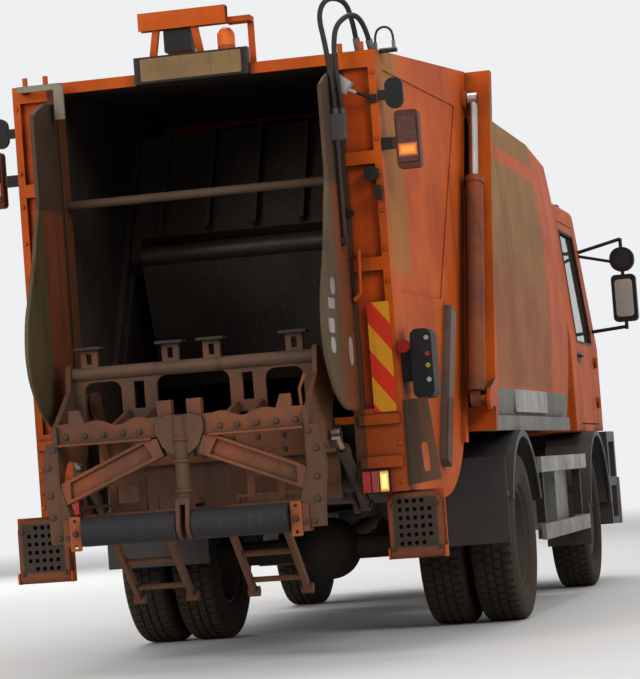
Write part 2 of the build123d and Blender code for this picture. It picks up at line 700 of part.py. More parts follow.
def cab_inside():
    """Seats, dashboard and steering wheel behind the glass."""
    floor = CAB_FLOOR_Z + CAB_WALL
    seats = []
    for y in (620, -330, -760):
        base = block(2900, 3300, y - 180, y + 180, floor, floor + 300)
        cushion = prism_y((2850, floor + 290), [(3380, floor + 320), (3380, floor + 430),
                          (2960, floor + 410), (2800, floor + 1080), (2690, floor + 1050)], y - 215, y + 215)
        seats.append(join(base, cushion))
    save("seats", *seats)
    dash = prism_y((3760, floor), [(CAB_FRONT_X - CAB_WALL, floor),
                   (CAB_FRONT_X - CAB_WALL + 5, CAB_BELT_Z - 30),
                   (3900, CAB_BELT_Z - 10), (3740, CAB_BELT_Z - 110), (3740, CAB_BELT_Z - 330),
                   (3860, CAB_BELT_Z - 400)], -1000, 1000)
    wheel = Pos(3590, 620, 1790) * Rot(0, -60, 0) * (Torus(215, 16) + Box(420, 34, 14) + Cylinder(45, 40))
    column = rod((3600, 620, 1785), (3790, 620, 1675), 30)
    save("dashboard", join(dash, wheel, column))


def cab_outside():
    """Bumper, grille, lamps, front arches, steps and mirrors."""
    nose = BUMPER_FRONT_X - 12
    bumper = prism_z((4060, -BUMPER_HALF), [(4160, -BUMPER_HALF), ((4215, -1170), (nose, -1050)),
                     ((BUMPER_FRONT_X, 0), (nose, 1050)), ((4215, 1170), (4160, BUMPER_HALF)),
                     (4060, BUMPER_HALF)], BUMPER_TOP - BUMPER_H, BUMPER_TOP)
    horns = [block(3950, 4070, side * (RAIL_OUT - 70), side * (RAIL_OUT - 12), 712, 775) for side in (1, -1)]
    lamp_cuts = [block(4180, 4300, side * 820, side * 1120, 560, 720) for side in (1, -1)]
    recess = block(4100, 4300, -110, 110, TOW_Z - 70, BUMPER_TOP + 1)
    jaw = cut(block(4090, BUMPER_FRONT_X, -50, 50, TOW_Z - 55, TOW_Z + 55),
              block(4150, 4300, -51, 51, TOW_Z - 20, TOW_Z + 20),
              rod((TOW_X, 0, TOW_Z - 60), (TOW_X, 0, TOW_Z + 60), TOW_R))
    bumper = join(cut(join(bumper, *horns), *lamp_cuts, recess), jaw)
    lamps = [prism_z((4180, side * 820), [(BUMPER_FRONT_X - 14, side * 820), (4215, side * 1120),
             (4180, side * 1120)], 560, 720) for side in (1, -1)]
    save("headlamps", *lamps)
    slots = [block(CAB_FRONT_X + 12, CAB_FRONT_X + 60, -760, 760, z, z + 60) for z in range(880, 1500, 100)]
    grille = cut(block(CAB_FRONT_X, CAB_FRONT_X + 40, -820, 820, 820, 1640), *slots)
    save("front_panels", bumper, cut(grille, cab_form(0)))
    arches = []
    for side in (1, -1):
        y0 = side * 905
        y1 = side * 1245
        cover = arch(FRONT_AXLE_X, 622, 14, y0, y1, 8, 172)
        lip = arch(FRONT_AXLE_X, 600, 36, side * 1230, y1, 8, 172)
        flap = block(FRONT_AXLE_X - 700, FRONT_AXLE_X - 690, side * 915, side * 1235, 330, 640)
        tie = block(FRONT_AXLE_X - 700, FRONT_AXLE_X - 620, side * 915, side * 1235, 590, 620)
        steps = cut(block(3560, 4055, side * 1100, side * 1240, 430, 1140),
                    block(3640, 3980, side * 1130, side * 1300, 480, 720),
                    block(3640, 3980, side * 1130, side * 1300, 790, 1060))
        web = block(3500, 3600, side * 1000, side * 1240, 600, 800)
        stay = block(FRONT_AXLE_X + 300, FRONT_AXLE_X + 360, side * RAIL_OUT, side * 960, 1030, 1060)
        foot = block(FRONT_AXLE_X + 300, FRONT_AXLE_X + 360, side * RAIL_OUT, side * (RAIL_OUT + 25),
                     860, 1060)
        arches.append(join(cover, lip, flap, tie, steps, web, stay, foot))
    save("front_arches", *arches)
    mirrors = []
    for side in (1, -1):
        y = side * 1420
        arm_top = rod((3960, side * 1085, 2560), (3980, y, 2640), 14)
        arm_mid = rod((3960, side * 1085, 2530), (3985, side * 1330, 2470), 12)
        arm_low = rod((4020, side * 1130, 1930), (3980, y, 1950), 14)
        stem = rod((3980, y, 1930), (3980, y, 2645), 14)
        main = rounded(y - 95, y + 95, 1990, 2360, 36, 3960, 4045)
        wide = rounded(y - 95, y + 95, 2385, 2575, 88, 3965, 4040)
        marker = rounded(side * 970 - 25, side * 970 + 25, CAB_ROOF_Z, CAB_ROOF_Z + 36, 12, 3640, 3720)
        mirrors.append(cut(join(arm_top, arm_mid, arm_low, stem, main, wide), cab_form(0)))
        mirrors.append(marker)
    save("mirrors", *mirrors)
    snorkel = join(block(2230, 2440, -1080, -860, 1500, 2700), block(2200, 2460, -1100, -840, 2700, 2860),
                   block(2230, 2440, -1000, -RAIL_OUT, 1180, 1510),
                   block(2230, 2440, -500, -400, RAIL_TOP, 1200))
    save("air_intake", snorkel)


def side_profile(y0, y1, trim):
    """Side outline of the tailgate; trim draws in the leaning front edge."""
    radius = TROUGH_R + TROUGH_T + 15
    low = 1090
    front = face_x(low) - FACE_GAP - trim
    reach = math.sqrt(radius ** 2 - (TROUGH_Z - low) ** 2)
    start = (min(front, TROUGH_X + reach), low)
    return prism_y((POST_X, POST_FOOT), [(POST_X, POST_TOP),
                   (face_x(FACE_TOP_Z) - FACE_GAP - trim, FACE_TOP_Z), start,
                   ((TROUGH_X + radius * math.sin(math.radians(24)),
                            TROUGH_Z - radius * math.cos(math.radians(24))), (TROUGH_X, TROUGH_Z - radius)),
                   (POST_X + 220, TROUGH_Z - radius), (POST_X + POST_D + 5, POST_FOOT)], y0, y1)


def flared(shape):
    """Turn a shape of the left side outwards with the outer skin, about the post's corner."""
    flare = math.degrees(math.atan2(TAIL_HALF - POST_OUT, face_x(2400) - POST_X))
    return Pos(POST_X, POST_OUT, 0) * Rot(0, 0, flare) * Pos(-POST_X, -POST_OUT, 0) * shape


def skin_y(x):
    """How far out the flared skin lies at x."""
    return POST_OUT + (x - POST_X) * (TAIL_HALF - POST_OUT) / (face_x(2400) - POST_X)


def roof_z(x):
    """Height of the tailgate's sloping roof."""
    run = face_x(FACE_TOP_Z) - FACE_GAP - POST_X
    return POST_TOP + (x - POST_X) * (FACE_TOP_Z - POST_TOP) / run


def post_block():
    """The left rear post."""
    return block(POST_X, POST_X + POST_D, POST_IN, POST_OUT, POST_FOOT, POST_TOP)


def tail_cap():
    """The left strip of the roof above the flared skin."""
    front = face_x(FACE_TOP_Z) - FACE_GAP
    cap = prism_y((POST_X, POST_TOP - SKIN), [(POST_X, POST_TOP), (front, FACE_TOP_Z),
                  (front - 20, FACE_TOP_Z - SKIN)], TAIL_INNER, TAIL_HALF)
    return cap & (flared(block(POST_X, POST_X + 2600, 0, POST_OUT, 3000, 3400)))


def tail_upright():
    """The left upright of the front hoop."""
    return prism_y((face_x(1090) - FACE_GAP, 1090), [(face_x(FACE_TOP_Z) - FACE_GAP, FACE_TOP_Z),
                   (face_x(FACE_TOP_Z) - FACE_GAP - HOOP_W, FACE_TOP_Z),
                   (face_x(1090) - FACE_GAP - HOOP_W, 1090)], TAIL_INNER, TAIL_HALF)


def tail_sides():
    """Each side: post, flared outer skin with its sunk panel and the front hoop's upright."""
    skin = flared(side_profile(POST_OUT - SKIN, POST_OUT, 20))
    panel_x = POST_X + POST_D + 25
    panel = flared(prism_y((panel_x, 1900), [(-2311, 1900), (-1560, 3080), (panel_x, 3080)],
                           POST_OUT - PANEL_D, POST_OUT + 10))
    recess = [block(POST_X - 1, POST_X + 35, POST_IN + 45, POST_OUT - 40, z0, z1)
              for z0, z1 in ((1290, 2010), (2080, 2570), (2640, 3080))]
    # flanges across the post's rear face: inner Y, lower and upper height
    flanges = [block(POST_X - FLANGE_D, POST_X + 5, y0, POST_OUT - 9, z0, z1)
               for y0, z0, z1 in ((775, 1204, 1255), (768, 977, 1038))]
    boss = cross_rod(RAM_HEAD_X, RAM_HEAD_Z, 55, TAIL_HALF - 40, RAM_Y - 35)
    side = join(cut(post_block(), *recess), cut(skin, panel), tail_cap(), tail_upright(), *flanges, boss)
    save("tail_sides", side, mirrored(side))
    walls = cut(join(side_profile(TAIL_INNER, TAIL_INNER + SKIN, 0), *guide_bars()), side)
    save("hopper_walls", walls, mirrored(walls))


def along(start, distance, angle):
    """A point of the side view at a distance along an angle."""
    turn = math.radians(angle)
    return (start[0] + distance * math.cos(turn), start[1] + distance * math.sin(turn))


def guide_bars():
    """Two guide bars on the inner wall; the carriage's shoes run between them."""
    bars = []
    offset = SHOE_HALF + SLIDE_GAP + 20
    for sign in (1, -1):
        start = along(along(PACK_LOW, -40, GUIDE_ANGLE), sign * offset, GUIDE_ANGLE + 90)
        end = along(start, 1560, GUIDE_ANGLE)
        bars.append(strut(start, end, TAIL_INNER - GUIDE_BAR, TAIL_INNER + 5, 40))
    return bars


def tail_top():
    """Roof sheet, rear top beam, front top member and hinge lugs of the tailgate."""
    roof = prism_y((POST_X, POST_TOP - 40), [(POST_X, POST_TOP), (face_x(FACE_TOP_Z) - FACE_GAP, FACE_TOP_Z),
                   (face_x(FACE_TOP_Z - 60) - FACE_GAP, FACE_TOP_Z - 60)], -TAIL_INNER, TAIL_INNER)
    beam = block(POST_X, POST_X + POST_D, -POST_IN, POST_IN, POST_TOP - BEAM_H + 50, POST_TOP)
    member = prism_y((face_x(FACE_TOP_Z) - FACE_GAP, FACE_TOP_Z), [(face_x(3180) - FACE_GAP, 3180),
                     (face_x(3180) - FACE_GAP - HOOP_W, 3180),
                     (face_x(FACE_TOP_Z) - FACE_GAP - HOOP_W, FACE_TOP_Z)], -TAIL_INNER, TAIL_INNER)
    lugs = []
    for y in (495, -495):
        lug = prism_y((HINGE_X - 200, FACE_TOP_Z - 40), [(HINGE_X - 190, FACE_TOP_Z),
                      (HINGE_X - 30, HINGE_Z + 42), ((HINGE_X + 50, HINGE_Z), (HINGE_X - 20, HINGE_Z - 46)),
                      (HINGE_X - 35, FACE_TOP_Z - 40)],
                      y - 40, y + 40)
        lugs.append(join(lug, cross_rod(HINGE_X, HINGE_Z, HINGE_PIN_R, y - 95, y + 95)))
    save("tail_top", cut(join(roof, beam, member, *lugs), post_block(), mirrored(post_block())))


def trough():
    """Curved hopper floor with its rear sill and stiffening ribs."""
    inner = TROUGH_R
    outer = TROUGH_R + TROUGH_T

    def at(radius, z):
        return math.sqrt(radius ** 2 - (TROUGH_Z - z) ** 2)
    front_z = 1100
    sheet = prism_y((TROUGH_X - at(inner, SILL_TOP), SILL_TOP),
                    [((TROUGH_X, TROUGH_Z - inner), (TROUGH_X + at(inner, front_z), front_z)),
                     (TROUGH_X + at(outer, front_z), front_z),
                     ((TROUGH_X, TROUGH_Z - outer), (TROUGH_X - at(outer, SILL_TOP), SILL_TOP))],
                    -TAIL_INNER, TAIL_INNER)
    sill_x = TROUGH_X - at(inner, SILL_TOP)
    sill = block(POST_X + 20, sill_x + 20, -SILL_HALF, SILL_HALF, SILL_FOOT + 60, SILL_TOP)
    sill = cut(sill, cross_rod(TROUGH_X, TROUGH_Z, inner, -TAIL_INNER, TAIL_INNER))
    apron = prism_y((POST_X + 60, SILL_FOOT + 70), [(POST_X + 60, 840), (POST_X + 480, 800),
                    (POST_X + 480, 830), (POST_X + 90, 868), (POST_X + 90, SILL_FOOT + 70)],
                    -SILL_HALF + 20, SILL_HALF - 20)
    brackets = []
    for side in (1, -1):
        y0 = side * (ARM_OUT - ARM_T - 12 - 30)
        y1 = side * (ARM_OUT - ARM_T - 12)
        plate = prism_y((POST_X + 60, SILL_TOP - 10),
                        [(LIFT_X + 40, LIFT_Z + 58),
                         ((LIFT_X - 60, LIFT_Z + 20), (LIFT_X - 10, LIFT_Z - 62)),
                        (POST_X - 60, 1240), (POST_X + 20, 1120), (POST_X + 60, 1120)], y0, y1)
        pin = cross_rod(LIFT_X, LIFT_Z, PIVOT_R, side * (ARM_OUT + 8), y0)
        foot = prism_y((TIP_FOOT_X - 45, TIP_FOOT_Z),
                       [((TIP_FOOT_X, TIP_FOOT_Z - 45), (TIP_FOOT_X + 45, TIP_FOOT_Z)),
                        (TIP_FOOT_X + 70, 850), (TIP_FOOT_X - 160, 850)],
                       side * (TIP_Y - 60), side * (TIP_Y - 36))
        foot_pin = cross_rod(TIP_FOOT_X, TIP_FOOT_Z, TIP_PIN_R, side * (TIP_Y - 60), side * (TIP_Y + 34))
        link = block(TIP_FOOT_X - 160, TIP_FOOT_X + 70, side * (SILL_HALF - 40), side * (TIP_Y - 36),
                     820, 860)
        brackets += [plate, pin, foot, foot_pin, link]
    save("hopper_trough", join(sheet, sill, apron, *brackets))


def ram(foot, head, y, radius, rod_r, pin_r, barrel_l, eye_t, retract):
    """Barrel with its foot eye, and rod with its head eye, along one line."""
    dx = head[0] - foot[0]
    dz = head[1] - foot[1]
    length = math.hypot(dx, dz)
    angle = math.degrees(math.atan2(dz, dx))
    place = Pos(foot[0], y, foot[1]) * Rot(0, -angle, 0)

    def lay(radius, x0, x1):
        return Pos((x0 + x1) / 2, 0, 0) * Rot(0, 90, 0) * Cylinder(radius, x1 - x0)
    eye = Rot(90, 0, 0) * Cylinder(pin_r * 1.7, eye_t)
    hole = Rot(90, 0, 0) * Cylinder(pin_r + PIN_GAP, eye_t + 2)
    neck = pin_r * 1.3
    bore_end = neck + 40
    bore = lay(rod_r + RAM_GAP, bore_end, barrel_l + 1)
    barrel = lay(radius, neck + 10, barrel_l) + lay(radius + 6, barrel_l - 40, barrel_l)
    barrel = barrel - bore + eye + block(0, neck + 14, -eye_t / 2, eye_t / 2, -neck, neck) - hole
    shaft = lay(rod_r, bore_end + retract + 15, length - neck * 0.6)
    head_eye = Pos(length, 0, 0) * eye
    head_hole = Pos(length, 0, 0) * hole
    return place * barrel, place * (shaft + head_eye - head_hole)


def rams():
    """Tailgate rams beside the joint plane and the lifter's tipping rams."""
    # name, foot eye, head eye, middle Y, barrel radius, rod radius, pin radius, barrel length,
    # eye width, how far the rod still goes in
    table = (("tail", (RAM_FOOT_X, RAM_FOOT_Z), (RAM_HEAD_X, RAM_HEAD_Z), RAM_Y, RAM_R,
              RAM_ROD_R, RAM_PIN_R, RAM_BARREL, RAM_EYE, 0),
             ("tip", (TIP_FOOT_X, TIP_FOOT_Z), (TIP_HEAD_X, TIP_HEAD_Z), TIP_Y, TIP_R,
              TIP_ROD_R, TIP_PIN_R, TIP_BARREL, TIP_EYE, TIP_RETRACT))
    for name, foot, head, y, radius, rod_r, pin_r, barrel_l, eye_t, retract in table:
        barrel, rod_part = ram(foot, head, y, radius, rod_r, pin_r, barrel_l, eye_t, retract)
        save(f"{name}_barrels", barrel, mirrored(barrel))
        save(f"{name}_rods", rod_part, mirrored(rod_part))


def shields():
    """Curved guard plates that stand back from the posts beside the lifter."""
    plate = prism_y((POST_X, 3060), [(POST_X - 130, 3020), ((POST_X - 600, 2040), (POST_X - 370, 1350)),
                    (POST_X - 30, 1290), (POST_X, 1330)], SHIELD_IN, SHIELD_OUT)
    save("shields", plate, mirrored(plate))


def tail_lights():
    """Amber lamps beside the posts, rear lamp bars, number plate box, camera, beacon and guard."""
    boxes = []
    lenses = []
    for side in (1, -1):
        y_in = side * AMBER_IN
        y_out = side * AMBER_OUT
        low = min(y_in, y_out)
        high = max(y_in, y_out)
        boxes.append(join(rounded(low, high, 2529, 2833, 22, POST_X - 14, POST_X + 60),
                          block(POST_X + 8, POST_X + 48, side * skin_y(POST_X + 48), side * (AMBER_IN + 20),
                                2640, 2700)))
        lenses.append(block(POST_X - 22, POST_X - 14, low + 12, high - 12, 2560, 2800))
        oval_in = side * 1041
        oval_out = side * 1136
        boxes.append(join(rounded(min(oval_in, oval_out), max(oval_in, oval_out), 2850, 3011, 44,
                                  POST_X, POST_X + 30),
                          block(POST_X + 2, POST_X + 28, side * skin_y(POST_X + 28), side * 1060,
                                2900, 2950)))
        lamp_in = side * 768
        lamp_out = side * 918
        boxes.append(block(POST_X - 30, POST_X, lamp_in, lamp_out, 845, 970))
        # inner and outer Y of each pane of the lamp bar
        for y0, y1 in ((776, 818), (824, 862), (868, 912)):
            lenses.append(block(POST_X - 38, POST_X - 30, side * y0, side * y1, 853, 962))
    boxes.append(block(POST_X - 50, POST_X, -330, 295, POST_TOP - 62, POST_TOP + 81))
    camera = join(block(POST_X + 60, POST_X + 150, 0, 150, 3283, 3403),
                  cross_strut((75, 3400), (75, 3494), POST_X + 68, POST_X + 88, 60))
    boxes.append(camera)
    save("tail_boxes", *boxes)

    bar_x = POST_X + 60
    bar = cut(block(bar_x - 30, bar_x + 30, -205, 279, 3403, 3500),
              block(bar_x - 24, bar_x + 24, -206, 280, 3402, 3494))
    legs = [cross_strut((start, 3100), (end, 3420), bar_x - 14, bar_x + 14, 36)
            for start, end in ((241, 186), (-77, -22))]
    frame_x = POST_X + 160
    arms = [block(frame_x - 15, frame_x + 15, -326, -296, 3100, 3440),
            block(bar_x + 20, frame_x + 15, -326, -190, 3410, 3440)]
    foot = block(frame_x - 70, frame_x + 60, -240, -90, 3100, roof_z(frame_x) + 34)
    under = prism_y((POST_X, 3000), [(POST_X, POST_TOP), (POST_X + 400, roof_z(POST_X + 400)),
                    (POST_X + 400, 3000)], -500, 500)
    guard = cut(join(bar, *legs, *arms), under, camera)
    base = roof_z(frame_x) + 34
    beacon = join(Pos(frame_x, -168, base + 25) * Cylinder(62, 50),
                  Pos(frame_x, -168, base + 90) * Cylinder(50, 90),
                  Pos(frame_x, -168, base + 135) * Sphere(50))
    save("tail_lamps", *lenses, beacon)
    pipe = cross_rod(POST_X + 60, 2510, 24, -POST_IN, POST_IN)
    save("tail_pipes", guard, cut(foot, under), pipe)


def below_roof():
    """The space under the tailgate's roof on the right side."""
    rear = POST_X - 10
    front = POST_X + 600
    return prism_y((rear, 2700), [(rear, roof_z(rear)), (front, roof_z(front)), (front, 2700)], -1300, -600)


def fitting(points, radius, length):
    """A round fitting that ends face to face with the first point of a hose."""
    end = Vector(*points[0])
    away = (end - Vector(*points[1])).normalized()
    return rod(tuple(end), tuple(end + away * length), radius)


def side_fittings():
    """Control box, connector block, hose fittings, work lamp, handles and small posts."""
    control = join(rounded(-1175, -1062, 1325, 1690, 40, POST_X + 60, POST_X + 230),
                   block(POST_X + 90, POST_X + 200, -1066, -skin_y(POST_X + 200), 1420, 1620))
    red = join(rod((POST_X - 26, -1040, 1600), (POST_X + 20, -1040, 1600), 34),
               block(POST_X, POST_X + 20, -1060, -skin_y(POST_X + 20), 1580, 1620))
    joint = block(HOSE_BLOCK_X - 34, HOSE_BLOCK_X + 34, -SHIELD_OUT, -SHIELD_OUT - 70, 2686, 2822)
    starts = [fitting(HOSE_A, 19, 30), fitting(HOSE_B, 19, 30)]
    pipe = rod((HOSE_BLOCK_X, -SHIELD_OUT - 20, 2690), (HOSE_BLOCK_X + 20, -SHIELD_OUT - 16, 2140), 13)
    clamp = block(HOSE_BLOCK_X - 5, HOSE_BLOCK_X + 45, -SHIELD_OUT, -SHIELD_OUT - 34, 2150, 2180)
    solids = [control, red, join(joint, *starts, pipe, clamp)]
    for points, radius in ((HOSE_A, 19), (HOSE_B, 19), (HOSE_C, 10)):
        solids.append(cut(fitting(list(reversed(points)), radius, 130), below_roof()))
    shelf = block(POST_X + 108, POST_X + 148, -skin_y(POST_X + 148), -1100, 3165, 3186)
    solids.append(join(fitting(HOSE_C, 10, 40), shelf))
    lamp = Pos(POST_X - 105, -842, 2985) * Rot(38, 0, 0) * Box(56, 80, 72)
    stay = rod((POST_X - 100, -860, 2960), (POST_X - 12, -974, 2910), 9)
    foot = block(POST_X - 18, POST_X, -995, -950, 2890, 2930)
    solids.append(join(lamp, stay, foot))
    solids.append(rod((POST_X - 40, -941, 2516), (POST_X, -941, 2516), 38))
    solids.append(join(rod((POST_X - 30, -974, 2412), (POST_X, -974, 2412), 12),
                       block(POST_X - 38, POST_X - 26, -992, -956, 2372, 2452)))
    solids.append(rod((POST_X - 24, -810, 2320), (POST_X, -810, 2320), 20))
    for side in (1, -1):
        grip = [(POST_X, side * 846, 2115), (POST_X - 38, side * 846, 2115), (POST_X - 38, side * 838, 1893),
                (POST_X - 38, side * 806, 1864), (POST_X, side * 806, 1864)]
        solids.append(bent_rod(grip, 11))
        for y in (815, 930):
            top = roof_z(POST_X + 34)
            solids.append(rod((POST_X + 20, side * y, top), (POST_X + 20, side * y, top + 46), 14))
    save("side_fittings", *solids)


def guard_plates():
    """Slotted plates beside the posts, tubes on the skins and the bracket at the top left."""
    solids = []
    for side in (1, -1):
        slot = prism_x((side * 1090, 960), [((side * 1107, 943), (side * 1124, 960)), (side * 1118, 1080),
                       ((side * 1101, 1097), (side * 1084, 1080))], POST_X + 40, POST_X + 60)
        wall = side * skin_y(POST_X + 55)
        plate = prism_x((wall, 1321), [(side * 1136, 1332), (side * 1179, 898), (wall, 877)],
                        POST_X + 45, POST_X + 55)
        solids.append(cut(plate, slot))
    tube = flared(join(strut((-2200, 1845), (-2600, 980), POST_OUT, POST_OUT + 45, 110)))
    solids += [tube, mirrored(tube)]
    solids.append(join(block(POST_X - 98, POST_X - 82, 696, 940, 3124, 3157),
                       block(POST_X - 98, POST_X - 82, 683, 738, 2961, 3140),
                       block(POST_X - 98, POST_X, 900, 940, 3128, 3153)))
    save("guard_plates", *solids)


def cord(name, points, radius):
    """A hose through a line of points, with arcs as wide as the runs allow."""
    runs = [(Vector(*b) - Vector(*a)).length for a, b in zip(points, points[1:])]
    edges = []
    at = Vector(*points[0])
    length = 0
    bends = []
    for index in range(1, len(points) - 1):
        corner = Vector(*points[index])
        back = (Vector(*points[index - 1]) - corner).normalized()
        ahead = (Vector(*points[index + 1]) - corner).normalized()
        turn = math.pi - math.acos(back.dot(ahead))
        reach = 0.45 * min(runs[index - 1], runs[index])
        bend = reach / math.tan(turn / 2)
        middle = (back + ahead).normalized()
        centre = corner + middle * (bend / math.cos(turn / 2))
        start = corner + back * reach
        end = corner + ahead * reach
        edges.append(Edge.make_line(at, start))
        edges.append(Edge.make_three_point_arc(start, centre - middle * bend, end))
        length += (start - at).length + bend * turn
        bends.append(round(bend))
        at = end
    edges.append(Edge.make_line(at, Vector(*points[-1])))
    length += (Vector(*points[-1]) - at).length
    path = Wire(edges)
    first = Vector(*points[1]) - Vector(*points[0])
    section = Face(Wire(Edge.make_circle(radius, Plane(origin=points[0], z_dir=first))))
    tube = Solid.sweep(section, path)
    share = tube.volume / (math.pi * radius ** 2 * length)
    print(name, "length", round(length), "bend radii", bends)
    print(name, "volume over section times length", round(share, 4))
    save(name, tube)


def hoses():
    """The three hose loops between the post's top and the roof, on the right side."""
    cord("hose_a", HOSE_A, HOSE_R)
    cord("hose_b", HOSE_B, HOSE_R)
    cord("hose_c", HOSE_C, THIN_HOSE_R)


def tail_fittings():
    """Plates with hinge ears that carry the folding steps."""
    hangers = []
    for side in (1, -1):
        inner = side * (STEP_IN - 14)
        outer = side * (STEP_OUT + 14)
        plate = block(STEP_X + STEP_T / 2 + 5, STEP_X + STEP_T / 2 + 25, inner, outer,
                      STEP_Z - 30, POST_FOOT)
        ears = [block(STEP_X - 25, STEP_X + STEP_T / 2 + 6, y, y + side * 10, STEP_Z - 30, STEP_Z + 30)
                for y in (inner, outer - side * 10)]
        pins = [cross_rod(STEP_X, STEP_Z, STEP_PIN_R, y, y + way * 30)
                for y, way in ((inner, side), (outer, -side))]
        hangers.append(join(plate, *ears, *pins))
    save("step_hangers", *hangers)


def steps():
    """Foot steps folded up against their hangers, with holes in their treads."""
    corner = 62
    bow = corner * (1 - math.sqrt(0.5))
    for name, side in (("l", 1), ("r", -1)):
        y0 = side * STEP_IN
        y1 = side * STEP_OUT
        # the tread's outline: straight below, rounded at its two upper corners
        tread = prism_x((y0, STEP_Z), [(y1, STEP_Z), (y1, STEP_TOP - corner),
                        ((y1 - side * bow, STEP_TOP - bow), (y1 - side * corner, STEP_TOP)),
                        (y0 + side * corner, STEP_TOP),
                        ((y0 + side * bow, STEP_TOP - bow), (y0, STEP_TOP - corner))],
                        STEP_X - STEP_T / 2, STEP_X + STEP_T / 2)
        holes = []
        for row in range(6):
            for column in range(5):
                y = side * (STEP_IN + 62 + 39 * column)
                z = STEP_Z + 50 + 44 * row
                if column < 4 or 0 < row < 5:
                    holes.append(rod((STEP_X - 40, y, z), (STEP_X + 40, y, z), 12))
        tread = join(cut(tread, *holes), cross_rod(STEP_X, STEP_Z, STEP_T / 2, y0, y1))
        save(f"step_{name}", tread - cross_rod(STEP_X, STEP_Z, STEP_PIN_R + PIN_GAP, y0, y1))


def packer():
    """Carriage on slanting guides and the blade hinged below it."""
    def place(shape):
        return Pos(PACK_HINGE[0], 0, PACK_HINGE[1]) * Rot(0, -GUIDE_ANGLE, 0) * shape
    slab = block(95, CARRIAGE_L, -CARRIAGE_HALF, CARRIAGE_HALF, -CARRIAGE_T / 2, CARRIAGE_T / 2)
    cheeks = []
    shoes = []
    for side in (1, -1):
        cheek = block(-75, 110, side * (BLADE_HALF + 5), side * CARRIAGE_HALF,
                      -CARRIAGE_T / 2 - 5, CARRIAGE_T / 2 + 5)
        cheeks.append(cheek - Rot(90, 0, 0) * Cylinder(BLADE_PIN_R + PIN_GAP, 2000))
        for x in (120, 620):
            shoes.append(block(x, x + 160, side * (CARRIAGE_HALF - 5), side * (TAIL_INNER - 5),
                               -SHOE_HALF, SHOE_HALF))
    ribs = [block(100, CARRIAGE_L - 10, y - 12, y + 12, CARRIAGE_T / 2 - 5, CARRIAGE_T / 2 + 60)
            for y in (-560, -280, 0, 280, 560)]
    save("carriage", place(join(slab, *cheeks, *shoes, *ribs)))
    reach = TROUGH_R - BLADE_CLEAR
    blade = prism_y((0, BLADE_T / 2), [(reach - 60, BLADE_T / 2), (reach, BLADE_TIP_T / 2),
                    (reach, -BLADE_TIP_T / 2), (reach - 90, -BLADE_T / 2), (0, -BLADE_T / 2)],
                    -BLADE_HALF, BLADE_HALF)
    tube = cross_rod(0, 0, BLADE_TUBE_R, -BLADE_HALF, BLADE_HALF)
    pin = cross_rod(0, 0, BLADE_PIN_R, -CARRIAGE_HALF, CARRIAGE_HALF)
    whole = Pos(PACK_HINGE[0], 0, PACK_HINGE[1]) * Rot(0, BLADE_REST, 0) * join(blade, tube, pin)
    save("packer_blade", whole)


def lift_plate(side):
    """One side plate of the lifter with its end column and lugs."""
    y0 = side * (ARM_OUT - ARM_T)
    y1 = side * ARM_OUT
    rear = COMB_X - 35
    plate = prism_y((LIFT_X + 55, LIFT_Z - 30),
                    [((LIFT_X, LIFT_Z + 62), (LIFT_X - 60, LIFT_Z + 48)), (BAR_X + 45, BAR_Z + 44),
                     ((BAR_X, BAR_Z + 58), (BAR_X - 48, BAR_Z + 30)), (BAR_X - 70, BAR_Z - 90),
                     (COMB_X + 30, COMB_TOP + 10), (rear, COMB_TOP - 30), (rear, COLUMN_FOOT),
                     (COMB_X + 55, COLUMN_FOOT), (COMB_X + 55, COLUMN_FOOT + 298),
                     ((COMB_X + 95, COLUMN_FOOT + 388), (COMB_X + 200, COLUMN_FOOT + 418)),
                     (TIP_HEAD_X - 60, TIP_HEAD_Z - 50),
                     ((TIP_HEAD_X, TIP_HEAD_Z - 62), (TIP_HEAD_X + 60, TIP_HEAD_Z - 10)),
                     (LIFT_X - 30, LIFT_Z - 105)], y0, y1)
    # the column's outline in the rear view: Y, height
    outline = ((651, 1225), (708, 1221), (735, 1025), (714, 830), (711, COLUMN_FOOT), (590, COLUMN_FOOT),
               (594, 832), (644, 1002))
    column = prism_x((side * outline[0][0], outline[0][1]), [(side * y, z) for y, z in outline[1:]],
                     rear, COMB_X + 45)
    hole = cross_rod(LIFT_X, LIFT_Z, PIVOT_R + PIN_GAP, y0 - side * 5, y1 + side * 5)
    return cut(join(plate, column), hole)


